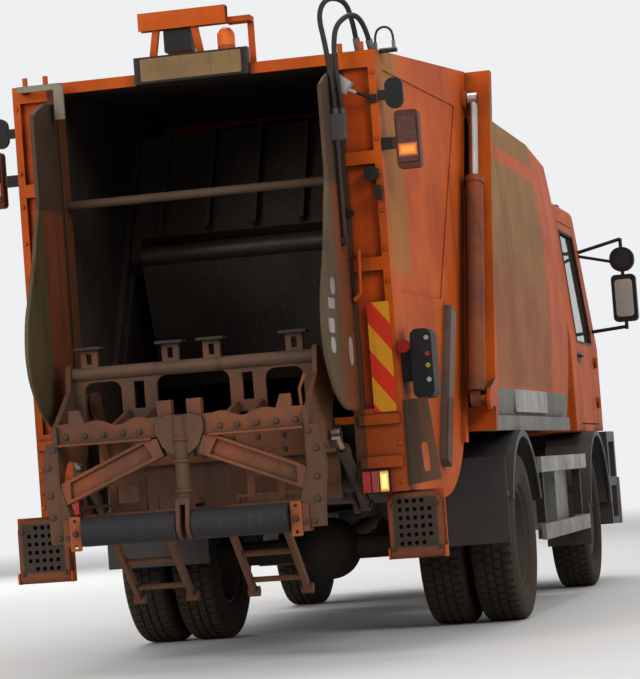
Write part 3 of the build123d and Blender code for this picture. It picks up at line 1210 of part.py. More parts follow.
def portal():
    """The cross tube with its arched plate, bin pads on slotted stems and links to the comb."""
    half = ARM_OUT - ARM_T
    foot = BAR_Z - 255
    tube = cross_rod(BAR_X, BAR_Z, BAR_R, -half, half)
    sheet = block(BAR_X - PORTAL_T / 2, BAR_X + PORTAL_T / 2, -half, half, foot, BAR_Z - 15)
    low = foot - 10
    x0 = BAR_X - PORTAL_T
    x1 = BAR_X + PORTAL_T
    middle = prism_x((195, low), [(195, foot + 165), ((180, foot + 205), (135, foot + 220)),
                     (-135, foot + 220), ((-180, foot + 205), (-195, foot + 165)), (-195, low)], x0, x1)
    openings = [middle]
    for side in (1, -1):
        openings.append(prism_x((side * 585, low), [(side * 585, foot + 150),
                        ((side * 571, foot + 194), (side * 530, foot + 210)), (side * 440, foot + 210),
                        ((side * 399, foot + 194), (side * 385, foot + 150)), (side * 385, low)], x0, x1))
        openings.append(block(x0, x1, side * 262, side * 318, foot + 60, foot + 200))
    shapes = [tube, cut(sheet, *openings)]
    for y in PAD_Y:
        shapes.append(rounded(y - 72, y + 72, PAD_Z, PAD_Z + 14, 6, BAR_X - 50, BAR_X + 50))
        stem = block(BAR_X - 14, BAR_X + 14, y - 45, y + 45, BAR_Z, PAD_Z + 2)
        shapes.append(cut(stem, block(BAR_X - 20, BAR_X + 20, y - 14, y + 14, BAR_Z + 50, PAD_Z - 20)))
        rib = prism_y((BAR_X + 12, PAD_Z + 1), [(BAR_X + 44, PAD_Z + 1), (BAR_X + 20, BAR_Z + 20),
                      (BAR_X + 12, BAR_Z + 20)], y - 40, y - 28)
        shapes.append(rib)
    for y in LINK_Y:
        shapes.append(strut((BAR_X - 5, BAR_Z - 232), (COMB_X + COMB_T / 2, COMB_FOOT + 50),
                            y - 11, y + 11, 66))
    return join(*shapes)


def comb():
    """The comb plate with its wavy edge, stubs, ledges, V beams and the jaw in the middle."""
    face = COMB_X - COMB_T / 2
    # one half of the upper edge from its end to the middle: Y, height, or (arc point, end)
    top = [(584, COMB_TOP - 7), (580, COMB_TOP + 58), (526, COMB_TOP + 58), (500, COMB_TOP - 11),
           ((425, COMB_TOP - 2), (380, COMB_TOP - 16)), ((327, COMB_TOP - 30), (274, COMB_TOP - 16)),
           ((225, COMB_TOP), (176, COMB_TOP - 8)), (0, COMB_TOP - 8)]

    def flip(step):
        return (flip(step[0]), flip(step[1])) if isinstance(step[0], tuple) else (-step[0], step[1])
    left = prism_x((COMB_HALF, COMB_FOOT), [(COMB_HALF, COMB_TOP - 7)] + top + [(0, COMB_FOOT)],
                   face, face + COMB_T)
    right = prism_x((-COMB_HALF, COMB_FOOT), [(-COMB_HALF, COMB_TOP - 7)] + [flip(step) for step in top]
                    + [(0, COMB_FOOT)], face, face + COMB_T)
    shapes = [left, right]
    for side in (1, -1):
        shapes.append(block(COMB_X - 8, COMB_X + 45, side * 40, side * 115, COMB_TOP - 30, COMB_TOP + 73))
        shapes.append(block(COMB_X - 42, COMB_X + 60, side * 150, side * 640, COMB_FOOT - 12, COMB_FOOT))
        beam = prism_x((side * 120, COMB_FOOT - 8), [(side * 183, COMB_FOOT - 8),
                       (side * 640, COMB_FOOT - 200), (side * 640, COMB_FOOT - 318),
                       (side * 90, COMB_FOOT - 95)], COMB_X - 30, COMB_X + 40)
        sunk = prism_x((side * 190, COMB_FOOT - 28), [(side * 590, COMB_FOOT - 196),
                       (side * 590, COMB_FOOT - 280), (side * 150, COMB_FOOT - 102)],
                       COMB_X - 31, COMB_X - 12)
        shapes.append(cut(beam, sunk))
    jaw = prism_x((127, COMB_FOOT + 30), [(122, COMB_FOOT + 85), (70, COMB_TOP - 4), (-70, COMB_TOP - 4),
                  (-122, COMB_FOOT + 85), (-127, COMB_FOOT + 30), (-95, COMB_FOOT - 52),
                  (-45, COMB_FOOT - 92), (45, COMB_FOOT - 92), (95, COMB_FOOT - 52)], face - 18, face + 2)
    # the lock cylinder that hangs in front of the V
    cylinder = rod((COMB_X - 14, 0, 895), (COMB_X - 14, 0, COMB_TOP - 12), 36)
    collars = [rod((COMB_X - 14, 0, z), (COMB_X - 14, 0, z + 16), 44) for z in (930, 1080, 1190)]
    saddle = block(COMB_X - 10, COMB_X + 60, -60, 60, COMB_FOOT - 110, COMB_FOOT + 20)
    hook = bent_rod([(COMB_X, -636, COMB_FOOT + 20), (COMB_X, -627, 1401), (COMB_X, -659, 1475)], 8)
    return join(*shapes, jaw, cylinder, *collars, saddle, hook)


def lift_foot():
    """Roller bearings, centre strap, cross tube with its small frames and the folded legs."""
    shapes = []
    shaft_hole = cross_rod(ROLLER_X, ROLLER_Z, ROLLER_SHAFT_R + PIN_GAP, -ARM_OUT, ARM_OUT)
    bearing_in = ROLLER_HALF + 10
    for side in (1, -1):
        bearing = block(ROLLER_X - 22, ROLLER_X + 65, side * bearing_in, side * 640,
                        COLUMN_FOOT - 20, COLUMN_FOOT + 120)
        ends = sorted((side * bearing_in, side * 605))
        bolt_holes = [rod((ROLLER_X - 40, side * 575, z), (ROLLER_X - 10, side * 575, z), 9)
                      for z in (692, 822)]
        face = cut(rounded(*ends, 670, 845, 10, ROLLER_X - 30, ROLLER_X - 22), *bolt_holes)
        shapes += [bearing, face]
        strap = prism_y((ROLLER_X - 74, ROLLER_Z), [((ROLLER_X, ROLLER_Z - 74), (ROLLER_X + 74, ROLLER_Z)),
                        (ROLLER_X + 60, 892), (ROLLER_X - 45, 892)], side * 14, side * 36)
        shapes.append(strap)
    bridge = block(ROLLER_X - 45, ROLLER_X + 62, -36, 36, 868, 900)
    tube_x = CROSS_X
    shapes.append(bridge)
    shapes.append(block(ROLLER_X + 40, tube_x, -30, 30, 868, 900))
    shapes.append(block(tube_x - 5, tube_x + 25, -30, 30, 840, 900))
    tube = block(tube_x - 30, tube_x + 30, -ARM_OUT + ARM_T, ARM_OUT - ARM_T, 790, 850)
    ties = [block(COMB_X + 20, tube_x, side * (ARM_OUT - ARM_T - 22), side * (ARM_OUT - ARM_T), 790, 850)
            for side in (1, -1)]
    shapes += [tube, *ties]
    for side in (1, -1):
        ring = cut(block(tube_x - 12, tube_x + 12, side * 268, side * 464, 845, 1020),
                   block(tube_x - 13, tube_x + 13, side * 308, side * 424, 880, 985))
        shapes.append(ring)
        shapes.append(cross_strut((side * 205, 888), (side * 620, 888), tube_x - 8, tube_x + 8, 16))
        shapes.append(block(tube_x - 8, tube_x + 8, side * 205, side * 221, 845, 896))
        shapes.append(block(tube_x - 8, tube_x + 8, side * 604, side * 620, 845, 896))
        for y in LEG_Y:
            leg = strut(LEG_TOP, LEG_FOOT, side * y - 14, side * y + 14, 46)
            hanger = block(LEG_TOP[0] - 24, LEG_TOP[0] + 24, side * y - 14, side * y + 14,
                           LEG_TOP[1] - 20, 795)
            toe = cross_rod(LEG_FOOT[0], LEG_FOOT[1], 27, side * y - 30, side * y + 30)
            shapes += [leg, hanger, toe]
        for share in (0.35, 0.8):
            x = LEG_TOP[0] + share * (LEG_FOOT[0] - LEG_TOP[0])
            z = LEG_TOP[1] + share * (LEG_FOOT[1] - LEG_TOP[1])
            shapes.append(cross_rod(x, z, 15, side * LEG_Y[0], side * LEG_Y[1]))
    return cut(join(*shapes), shaft_hole)


def lifter():
    """Bin lifter: side plates and portal, comb with its V, and the rubber roller."""
    arms = join(lift_plate(1), lift_plate(-1), portal())
    save("lift_arms", arms)
    save("lift_frame", cut(join(comb(), lift_foot()), arms))
    halves = [cross_rod(ROLLER_X, ROLLER_Z, ROLLER_R, side * 42, side * ROLLER_HALF) for side in (1, -1)]
    shaft = cross_rod(ROLLER_X, ROLLER_Z, ROLLER_SHAFT_R, -ROLLER_HALF - 50, ROLLER_HALF + 50)
    save("lift_roller", join(shaft, *halves))


def main():
    os.makedirs("parts", exist_ok=True)
    wheels()
    knuckles()
    chassis_frame()
    subframe()
    axles()
    springs()
    driveline()
    tanks()
    side_guards()
    mudguards()
    load_body()
    body_front()
    body_trim()
    ejector()
    cab()
    cab_inside()
    cab_outside()
    tail_sides()
    tail_top()
    trough()
    shields()
    tail_lights()
    side_fittings()
    guard_plates()
    hoses()
    tail_fittings()
    steps()
    packer()
    rams()
    lifter()


main()
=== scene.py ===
import math

import bmesh
import bpy
import numpy as np
from mathutils import Matrix, Vector


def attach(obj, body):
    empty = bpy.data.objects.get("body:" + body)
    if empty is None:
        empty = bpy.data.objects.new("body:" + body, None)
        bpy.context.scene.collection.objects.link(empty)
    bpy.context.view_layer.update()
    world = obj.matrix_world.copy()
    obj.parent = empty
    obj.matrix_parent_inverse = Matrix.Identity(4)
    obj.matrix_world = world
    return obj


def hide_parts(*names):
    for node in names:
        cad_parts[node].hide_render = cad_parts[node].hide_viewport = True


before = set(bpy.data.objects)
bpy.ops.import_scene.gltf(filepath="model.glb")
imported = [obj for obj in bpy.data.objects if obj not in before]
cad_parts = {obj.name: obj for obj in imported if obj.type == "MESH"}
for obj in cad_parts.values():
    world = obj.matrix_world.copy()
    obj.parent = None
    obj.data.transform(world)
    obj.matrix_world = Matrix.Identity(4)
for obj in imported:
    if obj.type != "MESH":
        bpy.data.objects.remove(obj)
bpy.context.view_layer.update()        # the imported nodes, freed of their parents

print("frame loaded:", len(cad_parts), "nodes")


# camera, floor and light
cameraSetup = {
    "place": (-17.497, -3.691, 0.954),   # metres, behind the right rear corner
    "yaw": 0.217, "pitch": 0.050, "roll": -0.075,   # radians
    "lens": 145.34, "sensor": 36.0, "farEnd": 200.0,
}
stageSetup = {
    "floorSize": 90.0, "floorRough": 0.9,
    "floorColour": (0.72, 0.72, 0.71), "backColour": (0.86, 0.87, 0.88),
    "fadeStart": 14.0, "fadeEnd": 34.0,   # where the floor turns into the backdrop, from the truck's middle
    "skyLight": 0.46,
}
# each lamp: where it stands, where it looks, its size in metres and its power
lampSetup = {
    "keyLamp": {"place": (-13.0, -13.0, 10.5), "aim": (-1.5, -0.5, 1.4), "size": 7.0, "power": 1180.0},
    "rearLamp": {"place": (-16.0, 6.0, 6.5), "aim": (-3.4, 0.0, 1.6), "size": 6.0, "power": 800.0},
    "topLamp": {"place": (2.0, 0.0, 13.0), "aim": (0.0, 0.0, 0.0), "size": 9.0, "power": 620.0},
    "frontLamp": {"place": (13.0, 8.0, 7.0), "aim": (2.0, 0.0, 1.4), "size": 7.0, "power": 620.0},
}


# right, up and forward of the camera: yaw and pitch set the forward line, roll turns the other two about it
def cameraAxes(yaw, pitch, roll):
    forward = Vector((math.cos(pitch) * math.cos(yaw), math.cos(pitch) * math.sin(yaw), math.sin(pitch)))
    level = Vector((math.sin(yaw), -math.cos(yaw), 0.0))
    upright = level.cross(forward)
    right = math.cos(roll) * level + math.sin(roll) * upright
    up = math.cos(roll) * upright - math.sin(roll) * level
    return right, up, forward


# a new object, linked into the scene
def newObject(name, data):
    thing = bpy.data.objects.new(name, data)
    bpy.context.scene.collection.objects.link(thing)
    return thing


def makeCamera(setup):
    data = bpy.data.cameras.new("camera")
    data.lens = setup["lens"]
    data.sensor_width = setup["sensor"]
    data.clip_end = setup["farEnd"]
    camera = newObject("camera", data)
    right, up, forward = cameraAxes(setup["yaw"], setup["pitch"], setup["roll"])
    turn = Matrix((right, up, -forward)).transposed().to_4x4()
    camera.matrix_world = Matrix.Translation(setup["place"]) @ turn
    bpy.context.scene.camera = camera


def makeLamp(name, setup):
    data = bpy.data.lights.new(name, "AREA")
    data.shape = "DISK"
    data.size = setup["size"]
    data.energy = setup["power"]
    lamp = newObject(name, data)
    lamp.location = setup["place"]
    aim = Vector(setup["aim"]) - Vector(setup["place"])
    lamp.rotation_euler = aim.to_track_quat("-Z", "Y").to_euler()


# node helpers: a value that is a socket is linked, any other is typed in
def feed(tree, spot, value):
    if isinstance(value, bpy.types.NodeSocket):
        tree.links.new(value, spot)
    else:
        spot.default_value = value


# a new node; its inputs go by name, or as i0, i1 and so on by number
def addNode(tree, kind, settings=None, **inputs):
    node = tree.nodes.new(kind)
    for key, value in (settings or {}).items():
        setattr(node, key, value)
    for key, value in inputs.items():
        numbered = key[0] == "i" and key[1:].isdigit()
        feed(tree, node.inputs[int(key[1:]) if numbered else key], value)
    return node


def mathNode(tree, operation, first, second=0.0, clamp=False):
    node = addNode(tree, "ShaderNodeMath", {"operation": operation, "use_clamp": clamp}, i0=first, i1=second)
    return node.outputs[0]


def times(tree, first, second, clamp=False):
    return mathNode(tree, "MULTIPLY", first, second, clamp)


def plus(tree, first, second, clamp=False):
    return mathNode(tree, "ADD", first, second, clamp)


# a smooth step from start to end while the value goes from low to high
def ramp(tree, value, low, high, start=0.0, end=1.0):
    node = addNode(tree, "ShaderNodeMapRange", {"interpolation_type": "SMOOTHSTEP"}, i0=value, i1=low,
                   i2=high, i3=start, i4=end)
    return node.outputs[0]


def mixColour(tree, factor, first, second):
    return addNode(tree, "ShaderNodeMix", {"data_type": "RGBA"}, i0=factor, i6=first, i7=second).outputs[2]


# Object coordinates stay with a piece when it moves
def objectPlace(tree):
    return addNode(tree, "ShaderNodeTexCoord").outputs["Object"]


def noiseAt(tree, place, scale, detail, rough=0.5):
    return addNode(tree, "ShaderNodeTexNoise", Vector=place, Scale=scale, Detail=detail, Roughness=rough).outputs[0]


# crests of a wave along one axis
def waveAt(tree, place, axis, scale):
    return addNode(tree, "ShaderNodeTexWave", {"bands_direction": axis}, Vector=place, Scale=scale).outputs[1]


def bumpFrom(tree, height, strength, distance=1.0):
    return addNode(tree, "ShaderNodeBump", Strength=strength, Distance=distance, Height=height).outputs[0]


def colour(rgb):
    return (*rgb, 1.0)


# a colour at a share of its strength
def dimmed(rgb, share):
    return colour([share * part for part in rgb])


# a node group with number inputs, whose one output is a mask
def newGroup(name, inputs):
    group = bpy.data.node_groups.new(name, "ShaderNodeTree")
    for label, value in inputs:
        group.interface.new_socket(label, in_out="INPUT", socket_type="NodeSocketFloat").default_value = value
    group.interface.new_socket("Mask", in_out="OUTPUT", socket_type="NodeSocketFloat")
    return group, group.nodes.new("NodeGroupInput").outputs, group.nodes.new("NodeGroupOutput").inputs["Mask"]


# the shared effects: noise scales count per metre, and a pair is where a mask starts and where it is full
effectSetup = {
    "dirt": {"fineScale": 9.0, "broad": 0.75, "fine": 0.35, "low": 0.55, "mask": (0.45, 1.05)},
    # corner: darkening in the hollows that ambient occlusion finds, grime with painted shade
    "corner": {"samples": 4, "open": 1.15, "noiseScale": 14.0, "noiseLift": 0.45, "mask": (0.15, 0.85)},
    "wear": {"samples": 4, "noiseScale": 23.0, "edge": (0.995, 0.82), "chips": (0.42, 0.58)},
    "streak": {"squeeze": (1.0, 1.0, 0.07), "mask": (0.5, 0.72)},
    "scratch": {"slants": ((0.0, 0.35, 0.10), (0.25, -0.60, 0.0)), "stretch": (2.4, 2.4, 0.09),
                "fineScale": 4.0, "mask": (0.60, 0.74)},
    "zone": {"soft": 0.004, "leanFrom": 1.8},
}


# road dirt: broken noise that thickens towards the ground
def roadDirtGroup(setup):
    tree, given, put = newGroup("roadDirt", [("Scale", 3.0), ("Height", 1.5), ("Amount", 0.5)])
    place = objectPlace(tree)
    height = addNode(tree, "ShaderNodeSeparateXYZ", i0=place).outputs[2]
    broad = noiseAt(tree, place, given["Scale"], 5.0, 0.6)
    fine = noiseAt(tree, place, times(tree, given["Scale"], setup["fineScale"]), 4.0, 0.7)
    low = mathNode(tree, "SUBTRACT", 1.0, mathNode(tree, "DIVIDE", height, given["Height"]), True)
    cloud = plus(tree, times(tree, broad, setup["broad"]), times(tree, fine, setup["fine"]))
    mask = ramp(tree, plus(tree, cloud, times(tree, low, setup["low"])), *setup["mask"])
    feed(tree, put, times(tree, mask, given["Amount"], True))
    return tree


# grime and painted shade in corners: darker where ambient occlusion finds a hollow, broken up by noise
def cornerGrimeAndShadeGroup(setup):
    tree, given, put = newGroup("cornerGrimeAndShade", [("Reach", 0.08), ("Amount", 0.7)])
    hollow = addNode(tree, "ShaderNodeAmbientOcclusion", {"samples": setup["samples"]}, Distance=given["Reach"])
    noise = noiseAt(tree, objectPlace(tree), setup["noiseScale"], 3.0)
    shade = mathNode(tree, "SUBTRACT", setup["open"], hollow.outputs["AO"])
    mask = ramp(tree, times(tree, shade, plus(tree, noise, setup["noiseLift"])), *setup["mask"])
    feed(tree, put, times(tree, mask, given["Amount"], True))
    return tree


# worn edges: where a rounded normal leaves the flat one, broken up by noise
def edgeWearGroup(setup):
    tree, given, put = newGroup("edgeWear", [("Radius", 0.006), ("Amount", 0.6)])
    rounded = addNode(tree, "ShaderNodeBevel", {"samples": setup["samples"]}, Radius=given["Radius"])
    plain = addNode(tree, "ShaderNodeNewGeometry")
    likeness = addNode(tree, "ShaderNodeVectorMath", {"operation": "DOT_PRODUCT"}, i0=rounded.outputs[0],
                       i1=plain.outputs["Normal"])
    edge = ramp(tree, likeness.outputs["Value"], *setup["edge"])
    chips = ramp(tree, noiseAt(tree, objectPlace(tree), setup["noiseScale"], 4.0, 0.7), *setup["chips"])
    feed(tree, put, times(tree, times(tree, edge, chips), given["Amount"], True))
    return tree


# streaks that run down a wall: noise squeezed along Z
def streakGroup(setup):
    tree, given, put = newGroup("runStreaks", [("Scale", 9.0), ("Amount", 0.4)])
    squeezed = addNode(tree, "ShaderNodeVectorMath", {"operation": "MULTIPLY"}, i0=objectPlace(tree),
                       i1=setup["squeeze"])
    mask = ramp(tree, noiseAt(tree, squeezed.outputs[0], given["Scale"], 5.0, 0.65), *setup["mask"])
    feed(tree, put, times(tree, mask, given["Amount"], True))
    return tree


# scratches: thin bands of noise that is drawn out along two slants
def scratchGroup(setup):
    tree, given, put = newGroup("scratches", [("Scale", 6.0), ("Amount", 0.5)])
    place = objectPlace(tree)
    scale = times(tree, given["Scale"], setup["fineScale"])
    bands = []
    for slant in setup["slants"]:
        turned = addNode(tree, "ShaderNodeMapping", Vector=place, Rotation=slant, Scale=setup["stretch"])
        bands.append(ramp(tree, noiseAt(tree, turned.outputs[0], scale, 3.0), *setup["mask"]))
    feed(tree, put, times(tree, mathNode(tree, "MAXIMUM", *bands), given["Amount"], True))
    return tree


# a soft-edged box in Object coordinates: Y is folded onto one side, and higher up X and Y lean outwards
def boxZoneGroup(setup):
    walls = [("X0", -9.0), ("X1", 9.0), ("Y0", -1.0), ("Y1", 9.0), ("Z0", -1.0), ("Z1", 9.0)]
    tree, given, put = newGroup("boxZone", walls + [("Soft", setup["soft"]), ("LeanX", 0.0), ("LeanY", 0.0)])
    parts = addNode(tree, "ShaderNodeSeparateXYZ", i0=objectPlace(tree)).outputs
    rise = mathNode(tree, "MAXIMUM", mathNode(tree, "SUBTRACT", parts[2], setup["leanFrom"]), 0.0)
    along = plus(tree, parts[0], times(tree, rise, given["LeanX"]))
    across = plus(tree, mathNode(tree, "ABSOLUTE", parts[1]), times(tree, rise, given["LeanY"]))
    inside = None
    for value, low, high in ((along, "X0", "X1"), (across, "Y0", "Y1"), (parts[2], "Z0", "Z1")):
        for gap in (mathNode(tree, "SUBTRACT", value, given[low]), mathNode(tree, "SUBTRACT", given[high], value)):
            share = plus(tree, mathNode(tree, "DIVIDE", gap, given["Soft"]), 0.5, True)
            inside = share if inside is None else mathNode(tree, "MINIMUM", inside, share)
    feed(tree, put, inside)
    return tree


groupMakers = {"dirt": roadDirtGroup, "corner": cornerGrimeAndShadeGroup, "wear": edgeWearGroup,
               "streak": streakGroup, "scratch": scratchGroup, "zone": boxZoneGroup}
effects = {name: make(effectSetup[name]) for name, make in groupMakers.items()}


def effectMask(tree, name, **values):
    node = tree.nodes.new("ShaderNodeGroup")
    node.node_tree = effects[name]
    for key, value in values.items():
        node.inputs[key].default_value = value
    return node.outputs["Mask"]


# a zone names the ranges of X, of Y without its sign and of Z that it fills
def zoneMask(tree, zone):
    values = {"Soft": zone.get("soft", effectSetup["zone"]["soft"])}
    for axis in "xyz":
        if axis in zone:
            values[axis.upper() + "0"], values[axis.upper() + "1"] = zone[axis]
    values["LeanX"], values["LeanY"] = zone.get("lean", (0.0, 0.0))
    return effectMask(tree, "zone", **values)


def newMaterial(name):
    material = bpy.data.materials.new(name)
    material.use_nodes = True
    return material, material.node_tree, material.node_tree.nodes["Principled BSDF"]


# sets a shader's inputs by name; a plain number or colour stays on the shader's own socket
def setShader(tree, shader, values):
    for label, value in values.items():
        feed(tree, shader.inputs[label], value)


# finishes of hard surfaces
# base, shade: the paint and its faded tone; dirt, corner, wear, streak, scratch: how much of each effect (corner:
# grime with painted shade in hollows), none where it isn't named; height: up to where the road dirt thickens; grain:
# how coarse the surface is
hardFinishes = {
    "orangePaint": {"base": (0.55, 0.092, 0.007), "shade": (0.38, 0.060, 0.007), "rough": 0.50, "gloss": 0.07,
                    "dirt": 0.20, "height": 1.7, "corner": 0.75, "wear": 0.50, "streak": 0.26, "grain": 0.15},
    "lifterPaint": {"base": (0.25, 0.060, 0.016), "shade": (0.095, 0.035, 0.018), "rough": 0.52, "gloss": 0.18,
                    "dirt": 0.36, "height": 2.2, "corner": 0.85, "wear": 0.9, "streak": 0.45,
                    "scratch": 0.25, "grain": 0.6},
    "darkLifterPaint": {"base": (0.125, 0.046, 0.019), "shade": (0.058, 0.029, 0.017), "rough": 0.52, "gloss": 0.18,
                        "dirt": 0.34, "height": 2.2, "corner": 0.8, "wear": 0.8, "streak": 0.45,
                        "scratch": 0.25, "grain": 0.6},
    "hopperSteel": {"base": (0.050, 0.036, 0.028), "shade": (0.022, 0.017, 0.015), "rough": 0.48, "metal": 0.40,
                    "dirt": 0.34, "height": 2.4, "corner": 0.7, "wear": 0.5, "streak": 0.45,
                    "scratch": 0.30, "wearColour": (0.13, 0.105, 0.085), "grain": 0.8},
    "brownSteel": {"base": (0.070, 0.040, 0.024), "shade": (0.034, 0.023, 0.017), "rough": 0.52, "metal": 0.15,
                   "gloss": 0.2, "dirt": 0.30, "height": 2.4, "corner": 0.7, "wear": 0.6, "streak": 0.5,
                   "scratch": 0.25, "wearColour": (0.16, 0.064, 0.026), "grain": 0.7},
    "rustySteel": {"base": (0.080, 0.042, 0.025), "shade": (0.036, 0.025, 0.020), "rough": 0.55, "metal": 0.25,
                   "dirt": 0.30, "height": 1.5, "corner": 0.5, "wear": 0.4, "streak": 0.2, "grain": 0.8},
    "chassisBlack": {"base": (0.017, 0.016, 0.016), "shade": (0.026, 0.023, 0.021), "rough": 0.58, "gloss": 0.18,
                     "dirt": 0.45, "height": 1.2, "corner": 0.5, "wear": 0.25, "streak": 0.1, "grain": 0.6},
    "fenderPlastic": {"base": (0.022, 0.0215, 0.022), "shade": (0.038, 0.036, 0.035), "rough": 0.44, "gloss": 0.28,
                      "dirt": 0.42, "height": 1.4, "corner": 0.4, "wear": 0.1, "streak": 0.25, "grain": 1.0},
    "blackPlastic": {"base": (0.008, 0.008, 0.009), "shade": (0.014, 0.013, 0.013), "rough": 0.50, "gloss": 0.14,
                     "dirt": 0.16, "height": 1.2, "corner": 0.2, "wear": 0.1, "streak": 0.1, "grain": 1.0},
    "greyPlastic": {"base": (0.080, 0.078, 0.075), "shade": (0.060, 0.058, 0.055), "rough": 0.5,
                    "dirt": 0.4, "height": 1.5, "corner": 0.3, "wear": 0.1, "streak": 0.2, "grain": 1.0},
    "paleGrey": {"base": (0.215, 0.200, 0.180), "shade": (0.145, 0.130, 0.115), "rough": 0.46, "gloss": 0.2,
                 "dirt": 0.5, "height": 1.8, "corner": 0.5, "wear": 0.3, "streak": 0.5, "grain": 0.3},
    "labelWhite": {"base": (0.40, 0.39, 0.35), "shade": (0.27, 0.255, 0.225), "rough": 0.45, "gloss": 0.2,
                   "dirt": 0.35, "height": 2.4, "streak": 0.5, "grain": 0.2},
    "plateFace": {"base": (0.25, 0.140, 0.036), "shade": (0.16, 0.090, 0.028), "rough": 0.42, "gloss": 0.25,
                  "dirt": 0.40, "height": 4.0, "streak": 0.6, "grain": 0.2},
    "alloy": {"base": (0.40, 0.39, 0.37), "shade": (0.28, 0.265, 0.24), "rough": 0.42, "metal": 0.80,
              "dirt": 0.50, "height": 1.5, "corner": 0.6, "wear": 0.1, "streak": 0.45, "grain": 0.3},
    "tankAlloy": {"base": (0.38, 0.38, 0.37), "shade": (0.28, 0.27, 0.25), "rough": 0.36, "metal": 0.85,
                  "dirt": 0.55, "height": 1.4, "corner": 0.4, "wear": 0.1, "streak": 0.35, "grain": 0.3},
    "rimPaint": {"base": (0.100, 0.095, 0.088), "shade": (0.060, 0.052, 0.046), "rough": 0.50, "metal": 0.2,
                 "dirt": 0.65, "height": 1.5, "corner": 0.8, "wear": 0.4, "streak": 0.1, "grain": 0.6},
    "chrome": {"base": (0.50, 0.49, 0.47), "shade": (0.36, 0.34, 0.31), "rough": 0.20, "metal": 1.0,
               "dirt": 0.30, "height": 1.2, "corner": 0.3, "streak": 0.3, "grain": 0.1},
    "mirrorGlass": {"base": (0.50, 0.52, 0.47), "shade": (0.36, 0.38, 0.34), "rough": 0.16, "metal": 0.5,
                    "dirt": 0.03, "height": 1.0, "streak": 0.2},
    "rubber": {"base": (0.011, 0.011, 0.014), "shade": (0.020, 0.020, 0.023), "rough": 0.60, "gloss": 0.16,
               "dirt": 0.16, "height": 1.2, "corner": 0.3, "wear": 0.2, "scratch": 0.3,
               "wearColour": (0.05, 0.047, 0.045), "grain": 2.0},
    "hoseRubber": {"base": (0.011, 0.011, 0.012), "shade": (0.024, 0.022, 0.021), "rough": 0.50, "gloss": 0.22,
                   "dirt": 0.20, "height": 4.5, "grain": 1.2},
    "tyreRubber": {"base": (0.011, 0.0105, 0.0105), "shade": (0.019, 0.017, 0.016), "rough": 0.76, "gloss": 0.12,
                   "dirt": 0.36, "height": 0.8, "corner": 0.5, "grain": 1.4},
}
dirtTone = (0.070, 0.047, 0.032)   # dry street dust
grimeAndShadeTone = (0.022, 0.015, 0.011)   # greasy grime in streaks; in corners also painted shade
rustTone = (0.085, 0.032, 0.015)

